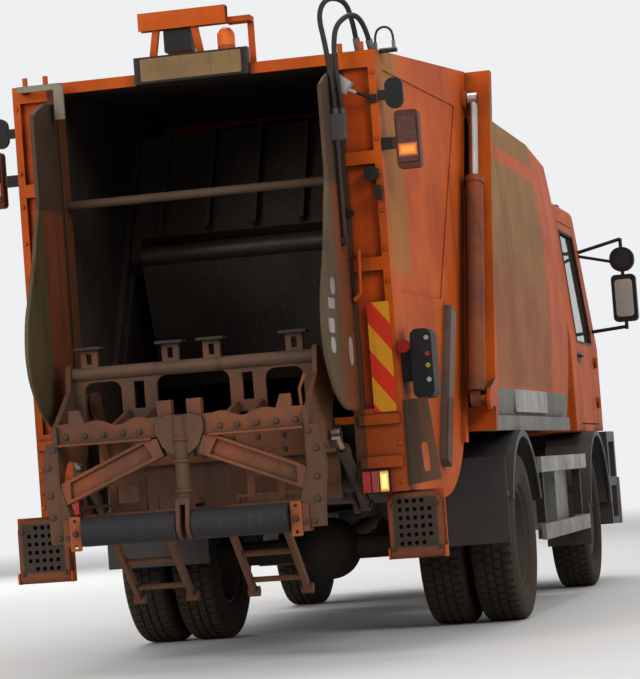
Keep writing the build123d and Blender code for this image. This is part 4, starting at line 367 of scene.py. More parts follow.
# finishes with a second colour in places: the finish they start from, and their zones, first one lowest
cabLean = (0.208, 0.0874)
zonedFinishes = {
    "bodyPaint": ("orangePaint", (
        # the faded ochre field of the flank and the ochre strip along the roof, with an orange band between them
        {"x": (-1.60, 0.78), "y": (0.95, 1.30), "z": (1.43, 2.82), "soft": 0.012, "tone": (0.290, 0.125, 0.022),
         "flank": True},
        {"x": (-1.95, 0.90), "y": (0.60, 1.30), "z": (2.92, 3.20), "soft": 0.012, "tone": (0.290, 0.125, 0.022),
         "flank": True},
        {"x": (-1.60, 0.78), "y": (0.95, 1.30), "z": (1.43, 2.05), "soft": 0.45, "tone": (0.330, 0.070, 0.011),
         "flank": True},
        # the grey band at the foot
        {"x": (-1.75, 1.95), "y": (0.90, 1.30), "z": (1.15, 1.405), "tone": (0.175, 0.160, 0.142),
         "flank": True})),
    "cabPaint": ("orangePaint", (
        {"x": (2.565, 4.132), "y": (-1.0, 1.124), "z": (1.175, 2.862), "soft": 0.002, "lean": cabLean,
         "tone": (0.060, 0.058, 0.056)},)),
    "tailPaint": ("orangePaint", (
        {"x": (-3.50, -3.30), "z": (0.80, 1.25), "soft": 0.30, "tone": (0.26, 0.050, 0.011)},
        {"x": (-3.447, -3.40), "y": (0.796, 0.959), "soft": 0.02, "tone": (0.56, 0.076, 0.008)},
        # the faded panel of the flank and the rusty strip beside the opening
        {"x": (-3.385, -2.98), "y": (0.985, 1.30), "z": (2.02, 3.26), "soft": 0.10, "tone": (0.340, 0.145, 0.024)},
        {"y": (0.70, 0.806), "z": (0.80, 3.30), "soft": 0.004, "tone": (0.120, 0.040, 0.017)})),
    "boxPaint": ("blackPlastic", (
        {"y": (1.06, 1.23), "z": (2.50, 2.85), "tone": (0.085, 0.024, 0.015)},
        {"x": (-3.52, -3.45), "y": (-1.0, 0.4), "z": (3.09, 3.26), "tone": (0.026, 0.021, 0.018)})),
    "pipePaint": ("orangePaint", ({"z": (2.40, 2.60), "tone": (0.085, 0.052, 0.034)},)),
    "fittingPaint": ("blackPlastic", (
        {"x": (-3.52, -3.44), "y": (0.78, 0.87), "z": (1.84, 2.14), "tone": (0.46, 0.080, 0.010)},
        {"x": (-3.46, -3.41), "y": (0.79, 0.96), "z": (3.16, 3.24), "tone": (0.50, 0.088, 0.010)},
        {"x": (-3.37, -3.28), "z": (3.18, 3.40), "tone": (0.20, 0.19, 0.175)},
        {"x": (-3.69, -3.585), "z": (2.66, 2.90), "tone": (0.085, 0.076, 0.070)},
        {"x": (-3.69, -3.585), "z": (2.10, 2.66), "tone": (0.040, 0.032, 0.027)},
        # the lamp head on its arm: pale, a painted highlight for the white reflection of its clear lens
        {"x": (-3.60, -3.535), "z": (2.89, 3.05), "tone": (0.34, 0.33, 0.31)},
        {"x": (-3.50, -3.474), "y": (1.0, 1.08), "z": (1.55, 1.65), "tone": (0.34, 0.012, 0.010)})),
    "platePaint": ("brownSteel", (
        {"x": (-2.80, -2.10), "tone": (0.17, 0.135, 0.105)},
        {"y": (1.075, 1.20), "z": (0.86, 1.34), "soft": 0.02, "tone": (0.115, 0.052, 0.027)},
        {"x": (-3.57, -3.459), "z": (2.90, 3.20), "tone": (0.200, 0.175, 0.125)})),
    "railAlloy": ("alloy", ({"z": (0.555, 0.875), "tone": (0.022, 0.020, 0.019)},)),
    # the upper, round mirror glass is painted dark: a painted reflection
    "mirrorFace": ("mirrorGlass", ({"z": (2.36, 3.00), "tone": (0.045, 0.040, 0.043)},)),
    "buttonPaint": ("labelWhite", (
        {"x": (-3.45, -3.39), "z": (1.535, 1.575), "tone": (0.42, 0.015, 0.012)},
        {"x": (-3.45, -3.39), "z": (1.475, 1.515), "tone": (0.30, 0.34, 0.03)})),
    "stepPaint": ("lifterPaint", (
        {"y": (0.902, 1.138), "z": (0.552, 0.815), "soft": 0.012, "tone": (0.030, 0.024, 0.020)},)),
    "armPaint": ("darkLifterPaint", (
        {"x": (-3.93, -3.77), "z": (1.698, 1.73), "tone": (0.018, 0.017, 0.017)},
        {"x": (-3.89, -3.81), "y": (-1.0, 0.645), "z": (1.535, 1.615), "soft": 0.02, "tone": (0.105, 0.060, 0.036)})),
    "combPaint": ("lifterPaint", (
        {"y": (-1.0, 0.128), "z": (0.88, 1.32), "soft": 0.03, "tone": (0.115, 0.052, 0.027)},
        {"x": (-4.10, -3.30), "soft": 0.05, "tone": (0.16, 0.058, 0.024)},
        {"y": (0.54, 0.61), "z": (0.66, 0.86), "soft": 0.01, "tone": (0.40, 0.090, 0.018)})),
    "leafPaint": ("brownSteel", (
        {"x": (-4.30, -3.79), "z": (1.20, 2.46), "soft": 0.02, "tone": (0.098, 0.068, 0.031)},
        {"x": (-3.79, -3.40), "z": (1.20, 2.46), "soft": 0.03, "tone": (0.190, 0.052, 0.020)})),
    "roofPaint": ("orangePaint", ()),
    # dust on the outer sidewalls
    "dustyTyre": ("tyreRubber", ({"y": (1.168, 1.30), "soft": 0.02, "tone": (0.048, 0.039, 0.031)},)),
    "wallSteel": ("hopperSteel", (
        {"x": (-3.47, -3.36), "soft": 0.16, "tone": (0.125, 0.052, 0.022)},)),
    "troughSteel": ("hopperSteel", (
        {"x": (-3.70, -3.40), "z": (0.7, 1.50), "soft": 0.05, "tone": (0.19, 0.061, 0.021)},)),
    "dashPlastic": ("greyPlastic", ({"x": (3.35, 3.75), "tone": (0.016, 0.016, 0.017)},)),
}


# how all of them are built up, with heights in metres
surfaceSetup = {
    "patchScale": 1.7, "fade": (0.35, 0.7), "zoneShade": 0.75, "gloss": 0.3,
    "roughSpread": 0.12, "roughShift": -0.05, "wearRough": 0.2, "cornerRough": 0.25, "dirtRough": 0.4,
    "grainScale": 160.0, "grainHeight": 0.0005, "dentScale": 3.2, "dentHeight": 0.006, "dirtHeight": 0.0006,
    "bump": 0.6, "flank": (0.7, 0.5), "inside": (0.02, -0.02),
}


# 0 where a face looks forward or back, 1 on the sides and the roof
def flankMask(tree):
    normal = addNode(tree, "ShaderNodeTexCoord").outputs["Normal"]
    forward = addNode(tree, "ShaderNodeSeparateXYZ", i0=normal).outputs[0]
    return ramp(tree, mathNode(tree, "ABSOLUTE", forward), *surfaceSetup["flank"])


# 1 where a face looks towards the centre: its normal, dotted with its place from the centre, is negative there
def insideMask(tree, place, centre):
    normal = addNode(tree, "ShaderNodeTexCoord").outputs["Normal"]
    reach = addNode(tree, "ShaderNodeVectorMath", {"operation": "SUBTRACT"}, i0=place, i1=centre)
    outward = addNode(tree, "ShaderNodeVectorMath", {"operation": "DOT_PRODUCT"}, i0=normal, i1=reach.outputs[0])
    return ramp(tree, outward.outputs["Value"], *surfaceSetup["inside"])


# paint faded by broad noise, its zones, inward faces darkened as dark steel with painted shade, then chipped edges,
# scratches, streaks, corner grime with painted shade and road dirt on top
def hardFinish(name, spec, zones=(), inside=None):
    setup = surfaceSetup
    material, tree, shader = newMaterial(name)
    place = objectPlace(tree)
    patches = noiseAt(tree, place, setup["patchScale"], 4.0, 0.6)
    fade = ramp(tree, patches, *setup["fade"])
    tone = mixColour(tree, fade, colour(spec["base"]), colour(spec["shade"]))
    for zone in zones:
        mask = zoneMask(tree, zone)
        if zone.get("flank"):
            mask = times(tree, mask, flankMask(tree))
        tone = mixColour(tree, mask, tone,
                         mixColour(tree, fade, colour(zone["tone"]), dimmed(zone["tone"], setup["zoneShade"])))
    # inward faces take the inside tone: dark steel with painted shade
    if inside:
        tone = mixColour(tree, insideMask(tree, place, inside["centre"]), tone, colour(inside["tone"]))
    rough = plus(tree, times(tree, patches, setup["roughSpread"]), spec["rough"] + setup["roughShift"])
    worn = spec.get("wearColour", rustTone)
    # the corner layer darkens hollows: grime with painted shade
    for effect, layerTone, rougher in (("wear", worn, setup["wearRough"]), ("scratch", worn, 0.0),
                                       ("streak", grimeAndShadeTone, 0.0), ("corner", grimeAndShadeTone, setup["cornerRough"])):
        if spec.get(effect):
            mask = effectMask(tree, effect, Amount=spec[effect])
            tone = mixColour(tree, mask, tone, colour(layerTone))
            if rougher:
                rough = plus(tree, rough, times(tree, mask, rougher))
    dirt = effectMask(tree, "dirt", Height=spec["height"], Amount=spec["dirt"])
    setShader(tree, shader, {
        "Base Color": mixColour(tree, dirt, tone, colour(dirtTone)),
        "Roughness": plus(tree, rough, times(tree, dirt, setup["dirtRough"]), True),
        "Metallic": spec.get("metal", 0.0), "Specular IOR Level": spec.get("gloss", setup["gloss"])})
    if spec.get("grain"):
        grain = noiseAt(tree, place, setup["grainScale"], 3.0, 0.6)
        dents = noiseAt(tree, place, setup["dentScale"], 2.0)
        height = plus(tree, times(tree, grain, setup["grainHeight"] * spec["grain"]),
                      times(tree, dents, setup["dentHeight"]))
        height = plus(tree, height, times(tree, dirt, setup["dirtHeight"]))
        feed(tree, shader.inputs["Normal"], bumpFrom(tree, height, setup["bump"]))
    return material


# glass: its tint, how much light it lets through, and a haze of dust
glassSetup = {
    "cabGlass": {"tint": (0.30, 0.34, 0.34), "clear": 0.85},
    "clearLens": {"tint": (0.88, 0.90, 0.90), "clear": 0.8},
    "haze": {"scale": 6.0, "shade": 0.86, "tone": (0.3, 0.8), "rough": (0.45, 0.9, 0.02, 0.14), "ior": 1.45},
}


def glassFinish(name, spec, haze):
    material, tree, shader = newMaterial(name)
    cloud = noiseAt(tree, objectPlace(tree), haze["scale"], 5.0)
    setShader(tree, shader, {
        "Base Color": mixColour(tree, ramp(tree, cloud, *haze["tone"]), colour(spec["tint"]),
                                dimmed(spec["tint"], haze["shade"])),
        "Roughness": ramp(tree, cloud, *haze["rough"]),
        "Transmission Weight": spec["clear"], "IOR": haze["ior"]})
    return material


# lamp panes: amber beacon and side lamps, red, clear and amber panes in the lamp bars; the lit ones glow
lampPanes = (
    {"y": (0.77, 0.821), "z": (0.80, 1.00), "tone": (0.40, 0.010, 0.008)},
    {"y": (0.821, 0.865), "z": (0.80, 1.00), "tone": (0.30, 0.055, 0.040)},
    {"y": (0.865, 0.920), "z": (0.80, 1.00), "tone": (0.90, 0.36, 0.05)},
    {"y": (1.00, 1.30), "z": (2.40, 2.90), "tone": (0.075, 0.020, 0.013)},
    {"z": (3.30, 3.60), "tone": (0.80, 0.150, 0.010)},
)
litPanes = (
    {"y": (0.875, 0.905), "z": (0.870, 0.945), "soft": 0.022, "tone": (1.0, 0.62, 0.20)},
    {"y": (1.105, 1.185), "z": (2.602, 2.646), "soft": 0.030, "tone": (1.0, 0.24, 0.02)},
)


lensSetup = {
    "tint": (0.46, 0.085, 0.006), "glow": 1.6, "gloss": 0.3, "rough": 0.12, "dustRough": 0.5,
    "ribScale": 34.0, "ribDepth": 0.002, "ribShare": 0.2, "ribShade": 0.6, "bump": 0.5,
    "dust": {"Height": 1.2, "Amount": 0.30},
}


# coloured lens: fine prism ribs in two directions
def lensFinish(name, setup, panes, lit):
    material, tree, shader = newMaterial(name)
    place = objectPlace(tree)
    ribs = plus(tree, *[waveAt(tree, place, axis, setup["ribScale"]) for axis in "ZY"])
    tone = mixColour(tree, times(tree, ribs, setup["ribShare"]), colour(setup["tint"]),
                     dimmed(setup["tint"], setup["ribShade"]))
    for pane in panes:
        tone = mixColour(tree, zoneMask(tree, pane), tone, colour(pane["tone"]))
    shine = (0.0, 0.0, 0.0, 1.0)
    for pane in lit:
        shine = mixColour(tree, zoneMask(tree, pane), shine, colour(pane["tone"]))
    dust = effectMask(tree, "dirt", **setup["dust"])
    setShader(tree, shader, {
        "Base Color": mixColour(tree, dust, tone, colour(dirtTone)),
        "Roughness": plus(tree, times(tree, dust, setup["dustRough"]), setup["rough"]),
        "Normal": bumpFrom(tree, ribs, setup["bump"], setup["ribDepth"]), "Specular IOR Level": setup["gloss"],
        "Emission Color": shine, "Emission Strength": setup["glow"]})
    return material


clothSetup = {
    "tint": (0.030, 0.033, 0.040), "crest": 1.7, "threadScale": 140.0, "threadDepth": 0.0006, "bump": 0.5,
    "wornTone": (0.09, 0.08, 0.07), "wornScale": 7.0, "worn": (0.5, 0.8, 0.0, 0.5), "rough": 0.85, "sheen": 0.3,
}


# woven seat cloth: two crossed waves for the threads, paler where it is worn
def clothFinish(name, setup):
    material, tree, shader = newMaterial(name)
    place = objectPlace(tree)
    weave = times(tree, *[waveAt(tree, place, axis, setup["threadScale"]) for axis in "YZ"])
    tone = mixColour(tree, weave, colour(setup["tint"]), dimmed(setup["tint"], setup["crest"]))
    worn = ramp(tree, noiseAt(tree, place, setup["wornScale"], 4.0), *setup["worn"])
    setShader(tree, shader, {
        "Base Color": mixColour(tree, worn, tone, colour(setup["wornTone"])),
        "Normal": bumpFrom(tree, weave, setup["bump"], setup["threadDepth"]),
        "Roughness": setup["rough"], "Sheen Weight": setup["sheen"]})
    return material


chevronSetup = {
    "yellow": (0.70, 0.29, 0.010), "red": (0.66, 0.030, 0.010),
    "pitch": 0.28, "slope": 1.30, "start": -0.193,   # metres between yellow bands, their rise per metre, their start
    "streak": {"Amount": 0.35}, "dust": {"Height": 2.4, "Amount": 0.25},
    "rough": 0.4, "dustRough": 0.5, "gloss": 0.15,
}


# board with slanting yellow and red stripes: the fraction of height plus sloped width, over the pitch
def chevronFinish(name, setup):
    material, tree, shader = newMaterial(name)
    parts = addNode(tree, "ShaderNodeSeparateXYZ", i0=objectPlace(tree)).outputs
    across = times(tree, mathNode(tree, "ABSOLUTE", parts[1]), setup["slope"])
    slant = plus(tree, plus(tree, parts[2], across), setup["start"])
    saw = mathNode(tree, "FRACT", mathNode(tree, "DIVIDE", slant, setup["pitch"]))
    tone = mixColour(tree, mathNode(tree, "GREATER_THAN", saw, 0.5), colour(setup["yellow"]), colour(setup["red"]))
    tone = mixColour(tree, effectMask(tree, "streak", **setup["streak"]), tone, colour(grimeAndShadeTone))
    dust = effectMask(tree, "dirt", **setup["dust"])
    setShader(tree, shader, {
        "Base Color": mixColour(tree, dust, tone, colour(dirtTone)),
        "Roughness": plus(tree, times(tree, dust, setup["dustRough"]), setup["rough"]),
        "Specular IOR Level": setup["gloss"]})
    return material


# finishes whose faces are darker where they look towards the point named here: dark steel, with painted shade inside
# the hopper and the body
insideSteelAndShade = {
    "roofPaint": {"centre": (-3.42, 0.0, 2.20), "tone": (0.030, 0.022, 0.018)},
    "bodyPaint": {"centre": (-0.50, 0.0, 2.20), "tone": (0.060, 0.045, 0.036)},
}
materials = {name: hardFinish(name, spec) for name, spec in hardFinishes.items()}
for name, (start, zones) in zonedFinishes.items():
    materials[name] = hardFinish(name, hardFinishes[start], zones, insideSteelAndShade.get(name))
for name in ("cabGlass", "clearLens"):
    materials[name] = glassFinish(name, glassSetup[name], glassSetup["haze"])
materials["lampLens"] = lensFinish("lampLens", lensSetup, lampPanes, litPanes)
materials["seatCloth"] = clothFinish("seatCloth", clothSetup)
materials["chevrons"] = chevronFinish("chevrons", chevronSetup)
print("materials made:", len(materials))

# which finish each carried-over node takes
nodeFinish = {
    "orangePaint": ("step_hangers",),
    "bodyPaint": ("body_shell", "body_front"),
    "cabPaint": ("cab_shell", "door_l", "door_r"),
    "tailPaint": ("tail_sides",),
    "roofPaint": ("tail_top",),
    "boxPaint": ("tail_boxes",),
    "pipePaint": ("tail_pipes",),
    "fittingPaint": ("side_fittings",),
    "platePaint": ("guard_plates",),
    "armPaint": ("lift_arms",),
    "combPaint": ("lift_frame",),
    "stepPaint": ("step_l", "step_r"),
    "wallSteel": ("hopper_walls",),
    "troughSteel": ("hopper_trough",),
    "hopperSteel": ("carriage", "packer_blade", "ejector"),
    "brownSteel": ("shields",),
    "lifterPaint": ("tail_barrels",),
    "rustySteel": ("tip_barrels",),
    "chassisBlack": ("frame", "subframe", "axles", "springs", "driveline", "knuckle_l", "knuckle_r"),
    "fenderPlastic": ("mudguards", "front_arches"),
    "blackPlastic": ("mirrors",),
    "dashPlastic": ("dashboard",),
    "greyPlastic": ("front_panels", "air_intake"),
    "paleGrey": ("sill_rails",),
    "railAlloy": ("side_guards",),
    "tankAlloy": ("tanks",),
    "rimPaint": ("rim_fl", "rim_fr", "rims_rl", "rims_rr"),
    "chrome": ("tail_rods", "tip_rods"),
    "rubber": ("lift_roller",),
    "tyreRubber": ("tyre_fl", "tyre_fr", "tyres_rl", "tyres_rr"),
    "hoseRubber": ("hose_a", "hose_b", "hose_c"),
    "cabGlass": ("cab_glass", "door_glass_l", "door_glass_r"),
    "clearLens": ("headlamps",),
    "lampLens": ("tail_lamps",),
    "seatCloth": ("seats",),
}


def dressNodes():
    for finishName, nodeNames in nodeFinish.items():
        for nodeName in nodeNames:
            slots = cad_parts[nodeName].data.materials
            slots.clear()
            slots.append(materials[finishName])


# surfaces from arrays; a shape is its points and a list of face arrays, one array for each corner count
# quads over a grid of rows by columns; either way round may close on itself
def gridFaces(rows, columns, closeRows=False, closeColumns=False):
    i, j = np.meshgrid(np.arange(rows if closeRows else rows - 1),
                       np.arange(columns if closeColumns else columns - 1), indexing="ij")
    nextI = (i + 1) % rows
    nextJ = (j + 1) % columns
    return np.stack([i * columns + j, nextI * columns + j, nextI * columns + nextJ, i * columns + nextJ],
                    -1).reshape(-1, 4)


# several shapes as one: points are stacked and the faces count on from the last
def gather(shapes):
    starts = np.cumsum([0] + [len(points) for points, faces in shapes])
    faces = [group + start for (points, groups), start in zip(shapes, starts) for group in groups]
    return np.concatenate([points for points, groups in shapes]), faces


# one shape set down many times: each copy is turned, then moved to its place
def scatter(shape, places, turns):
    base, groups = shape
    places = np.asarray(places, float)
    points = np.einsum("cij,vj->cvi", np.asarray(turns, float), base) + places[:, None, :]
    shift = (np.arange(len(places)) * len(base))[:, None, None]
    return points.reshape(-1, 3), [(group[None] + shift).reshape(-1, group.shape[1]) for group in groups]


# a turn whose columns are a shape's own right, up and outward lines
def facing(across, up):
    across = np.asarray(across, float) / np.linalg.norm(across)
    up = np.asarray(up, float) / np.linalg.norm(up)
    return np.stack([across, up, np.cross(across, up)], -1)


lookRear = facing((0, -1, 0), (0, 0, 1))
lookRight = facing((1, 0, 0), (0, 0, 1))
lookLeft = facing((-1, 0, 0), (0, 0, 1))
lookUp = facing((1, 0, 0), (0, 1, 0))
smallBevel = 0.0008
offAxis = (0.13, 0.31, 0.94)   # no tube of the truck runs along this line


# rounded rectangle: four quarter circles joined by straight sides
def roundOutline(width, height, radius, steps=6):
    turn = np.linspace(0.0, np.pi / 2, steps)
    angle = (np.arange(4)[:, None] * np.pi / 2 + turn).ravel()
    signs = np.repeat(np.array([(1, 1), (-1, 1), (-1, -1), (1, -1)], float), steps, axis=0)
    centre = signs * (width / 2 - radius, height / 2 - radius)
    return centre + radius * np.stack([np.cos(angle), np.sin(angle)], -1)


# an outline carried through its thickness, drawn in towards its middle by the bevel at both faces
def slab(outline, thickness, bevel):
    outline = np.asarray(outline, float)
    middle = outline.mean(0)
    reach = np.linalg.norm(outline - middle, axis=1, keepdims=True)
    inner = middle + (outline - middle) * (1 - bevel / np.maximum(reach, bevel * 1.01))
    rings = np.stack([inner, outline, outline, inner])
    levels = np.broadcast_to(np.array([0.0, bevel, thickness - bevel, thickness])[:, None, None],
                             (4, len(outline), 1))
    count = len(outline)
    caps = np.stack([np.arange(count)[::-1], np.arange(3 * count, 4 * count)])
    return np.concatenate([rings, levels], -1).reshape(-1, 3), [gridFaces(4, count, closeColumns=True), caps]


# a slab with rounded corners; place is the middle of its rear face, and it stands out from there
def plate(place, turn, width, height, radius, thickness, bevel=smallBevel):
    return scatter(slab(roundOutline(width, height, radius), thickness, bevel), [place], [turn])


# a profile of (radius, reach) turned about a line; its first and last rings are closed with caps
def spun(profile, start, ahead, count=28):
    profile = np.asarray(profile, float)
    ahead = np.asarray(ahead, float) / np.linalg.norm(ahead)
    side = np.cross(ahead, offAxis)
    side /= np.linalg.norm(side)
    over = np.cross(ahead, side)
    angle = np.linspace(0, 2 * np.pi, count, endpoint=False)
    ring = np.cos(angle)[:, None] * side + np.sin(angle)[:, None] * over
    points = np.asarray(start, float) + profile[:, 1][:, None, None] * ahead + profile[:, 0][:, None, None] * ring
    last = (len(profile) - 1) * count
    caps = np.stack([np.arange(count)[::-1], np.arange(last, last + count)])
    return points.reshape(-1, 3), [gridFaces(len(profile), count, closeColumns=True), caps]


# a round tube along a line of points: each ring stands square to the line
def tube(line, radius, sides=10, closed=False):
    line = np.asarray(line, float)
    ahead = np.roll(line, -1, 0) - np.roll(line, 1, 0) if closed else np.gradient(line, axis=0)
    ahead /= np.linalg.norm(ahead, axis=1, keepdims=True)
    side = np.cross(ahead, offAxis)
    side /= np.linalg.norm(side, axis=1, keepdims=True)
    over = np.cross(ahead, side)
    angle = np.linspace(0, 2 * np.pi, sides, endpoint=False)
    radius = np.broadcast_to(radius, (len(line),))[:, None, None]
    points = line[:, None, :] + radius * (np.cos(angle)[None, :, None] * side[:, None, :]
                                          + np.sin(angle)[None, :, None] * over[:, None, :])
    faces = [gridFaces(len(line), sides, closed, True)]
    if not closed:
        last = (len(line) - 1) * sides
        faces.append(np.stack([np.arange(sides)[::-1], np.arange(last, last + sides)]))
    return points.reshape(-1, 3), faces


# points along a line of corners, the same number to each run
def alongLine(corners, steps):
    corners = np.asarray(corners, float)
    share = np.linspace(0, 1, steps, endpoint=False)[None, :, None]
    runs = corners[:-1, None, :] + (corners[1:, None, :] - corners[:-1, None, :]) * share
    return np.concatenate([runs.reshape(-1, corners.shape[1]), corners[-1:]])


# every place with one of the Xs, one of the Ys and one of the Zs
def grid(xs, ys, zs):
    return np.stack(np.meshgrid(np.atleast_1d(xs), np.atleast_1d(ys), np.atleast_1d(zs), indexing="ij"),
                    -1).reshape(-1, 3)


# hexagonal bolt head on a round washer, standing up from its place
def boltHead(size, height):
    hexagon = np.linspace(0, 2 * np.pi, 6, endpoint=False)
    ring = np.linspace(0, 2 * np.pi, 12, endpoint=False)
    head, groups = slab(size * np.stack([np.cos(hexagon), np.sin(hexagon)], -1), height, size * 0.12)
    washer = slab(1.35 * size * np.stack([np.cos(ring), np.sin(ring)], -1), size * 0.3, size * 0.06)
    return gather([washer, (head + (0, 0, size * 0.25), groups)])


# writes a form to its mesh, smooths it up to the angle, and lets the piece ride on its body
def finishPiece(mesh, form, finish, body, angle):
    form.to_mesh(mesh)
    form.free()
    mesh.shade_smooth()
    mesh.set_sharp_from_angle(angle=math.radians(angle))
    mesh.materials.append(materials[finish])
    piece = newObject(mesh.name, mesh)
    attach(piece, body)
    return piece


def makePiece(name, shape, finish, body, slotName, angle=38.0):
    points, groups = shape
    mesh = bpy.data.meshes.new(name)
    mesh.from_pydata(points.tolist(), [], [face for group in groups for face in group.tolist()])
    form = bmesh.new()
    form.from_mesh(mesh)
    bmesh.ops.recalc_face_normals(form, faces=form.faces)
    return finishPiece(mesh, form, finish, body, angle)


# tyres
tyreForm = {
    "radius": 0.510, "pitches": 56, "samples": 8, "groove": 0.013, "crown": 0.004, "treadHalf": 0.103,
    "shoulderFrom": 0.057, "middleShift": 3, "shoulderCut": 3, "middleCut": 2,   # cuts in samples of a pitch
    # offset of each tread column from the middle, and whether it lies in a groove round the tyre
    "columns": ((0.005, 1), (0.007, 0), (0.026, 0), (0.044, 0), (0.046, 1), (0.056, 1), (0.058, 0),
                (0.080, 0), (0.100, 0), (0.103, 0)),
    # sidewall from the shoulder to the bead: radius, offset
    "wall": ((0.500, 0.1120), (0.488, 0.1240), (0.470, 0.1315), (0.440, 0.1365), (0.412, 0.1370),
             (0.386, 0.1350), (0.382, 0.1370), (0.376, 0.1370), (0.372, 0.1345), (0.345, 0.1290),
             (0.322, 0.1190), (0.312, 0.1200), (0.300, 0.1060), (0.292, 0.0960)),
}


# the tread's radius falls with the square of the offset, less a groove where the pitch or the column has one
def tyreShape(form, middle):
    samples = form["samples"]
    count = form["pitches"] * samples
    step = np.arange(count)
    right = np.array(form["columns"], float)
    tread = np.concatenate([right[::-1] * (-1, 1), right])
    offset = tread[:, 0]
    shoulder = np.abs(offset) > form["shoulderFrom"]
    shift = np.where(offset > 0, 0, samples // 2) + np.where(shoulder, 0, form["middleShift"])
    phase = (step[:, None] + shift[None, :]) % samples
    across = phase < np.where(shoulder, form["shoulderCut"], form["middleCut"])[None, :]
    depth = np.maximum(across.astype(float), tread[None, :, 1])
    radius = form["radius"] - form["crown"] * (offset / form["treadHalf"]) ** 2 - form["groove"] * depth
    wall = np.array(form["wall"])
    radii = np.concatenate([np.broadcast_to(wall[::-1, 0], (count, len(wall))), radius,
                            np.broadcast_to(wall[:, 0], (count, len(wall)))], axis=1)
    offsets = np.concatenate([-wall[::-1, 1], offset, wall[:, 1]])
    angle = 2 * np.pi * step / count
    points = np.stack([middle[0] + np.cos(angle)[:, None] * radii,
                       middle[1] + np.broadcast_to(offsets, radii.shape),
                       middle[2] + np.sin(angle)[:, None] * radii], -1)
    return points.reshape(-1, 3), [gridFaces(count, len(offsets), True, True)]


wheelSetup = {
    "frontX": 2.890, "rearX": -0.886, "frontY": 1.036, "rearY": 0.923, "twinStep": 0.1575, "axleZ": 0.510,
    "sharpAngle": 28.0,
    "nuts": {"count": 10, "size": 0.0135, "height": 0.022}, "caps": {"count": 8, "size": 0.007, "height": 0.006},
    # how far the hub's and the cap's faces stand out from the outer tyre's middle, and their bolt circles
    "front": {"hub": 0.062, "nutCircle": 0.105, "cap": 0.105, "capCircle": 0.062},
    "rear": {"hub": -0.020, "nutCircle": 0.112, "cap": 0.060, "capCircle": 0.078},
}


# bolt heads on a circle about an axle end
def boltCircle(bolts, middle, radius, look):
    x, y, z = middle
    count = bolts["count"]
    angle = np.linspace(0, 2 * np.pi, count, endpoint=False)
    ring = np.stack([x + radius * np.cos(angle), np.full(count, y), z + radius * np.sin(angle)], -1)
    return scatter(boltHead(bolts["size"], bolts["height"]), ring, [look] * count)


def makeWheels(form, setup):
    z = setup["axleZ"]
    for letter, side, look in (("l", 1, lookLeft), ("r", -1, lookRight)):
        front = (setup["frontX"], side * setup["frontY"], z)
        tyre = makePiece(f"treadedTyreF{letter}", tyreShape(form, front), "dustyTyre", f"wheel_f{letter}", "tyre",
                         setup["sharpAngle"])
        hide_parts(f"tyre_f{letter}")
        twins = [(setup["rearX"], side * setup["rearY"] + sign * setup["twinStep"], z) for sign in (1, -1)]
        tyre = makePiece(f"treadedTyresR{letter}", gather([tyreShape(form, place) for place in twins]),
                         "dustyTyre", f"wheels_r{letter}", "tyre", setup["sharpAngle"])
        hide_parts(f"tyres_r{letter}")
        for end, body, x, y in (("front", f"wheel_f{letter}", setup["frontX"], setup["frontY"]),
                                ("rear", f"wheels_r{letter}", setup["rearX"], setup["rearY"] + setup["twinStep"])):
            hub = setup[end]
            nuts = boltCircle(setup["nuts"], (x, side * (y + hub["hub"]), z), hub["nutCircle"], look)
            caps = boltCircle(setup["caps"], (x, side * (y + hub["cap"]), z), hub["capCircle"], look)
            makePiece(f"wheelNuts{end[0].upper()}{letter}", gather([nuts, caps]), "rustySteel", body, "rim")


# hose loops: each line holds the route's own points, in metres
hoseRoutes = {
    "hoseLoopA": {"node": "hose_a", "diameter": 0.028, "length": 0.957, "route": (
        (-3.650, -0.806, 2.850), (-3.652, -0.799, 3.030), (-3.600, -0.772, 3.200), (-3.552, -0.735, 3.370),
        (-3.498, -0.775, 3.462), (-3.428, -0.858, 3.450), (-3.372, -0.880, 3.355), (-3.344, -0.887, 3.255))},
    "hoseLoopB": {"node": "hose_b", "diameter": 0.028, "length": 0.788, "route": (
        (-3.622, -0.838, 2.850), (-3.618, -0.824, 3.030), (-3.600, -0.816, 3.200), (-3.552, -0.830, 3.310),
        (-3.458, -0.900, 3.375), (-3.374, -0.942, 3.325), (-3.342, -0.955, 3.240))},
    "hoseLoopC": {"node": "hose_c", "diameter": 0.013, "length": 0.214, "route": (
        (-3.332, -1.085, 3.224), (-3.330, -1.085, 3.280), (-3.326, -1.035, 3.309),
        (-3.322, -0.985, 3.280), (-3.320, -0.985, 3.224))},
}


def makeHoses(routes):
    for name, hose in routes.items():
        data = bpy.data.curves.new(name, "CURVE")
        data.dimensions = "3D"
        spline = data.splines.new("NURBS")
        spline.points.add(len(hose["route"]) - 1)
        spline.points.foreach_set("co", np.column_stack([hose["route"], np.ones(len(hose["route"]))]).ravel())
        spline.order_u = 3
        spline.use_endpoint_u = True
        data.resolution_u = 10
        data.bevel_depth = hose["diameter"] / 2
        data.bevel_resolution = 5
        data.use_fill_caps = True
        data.materials.append(materials["hoseRubber"])
        piece = newObject(name, data)
        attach(piece, "tailgate")
        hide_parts(hose["node"])


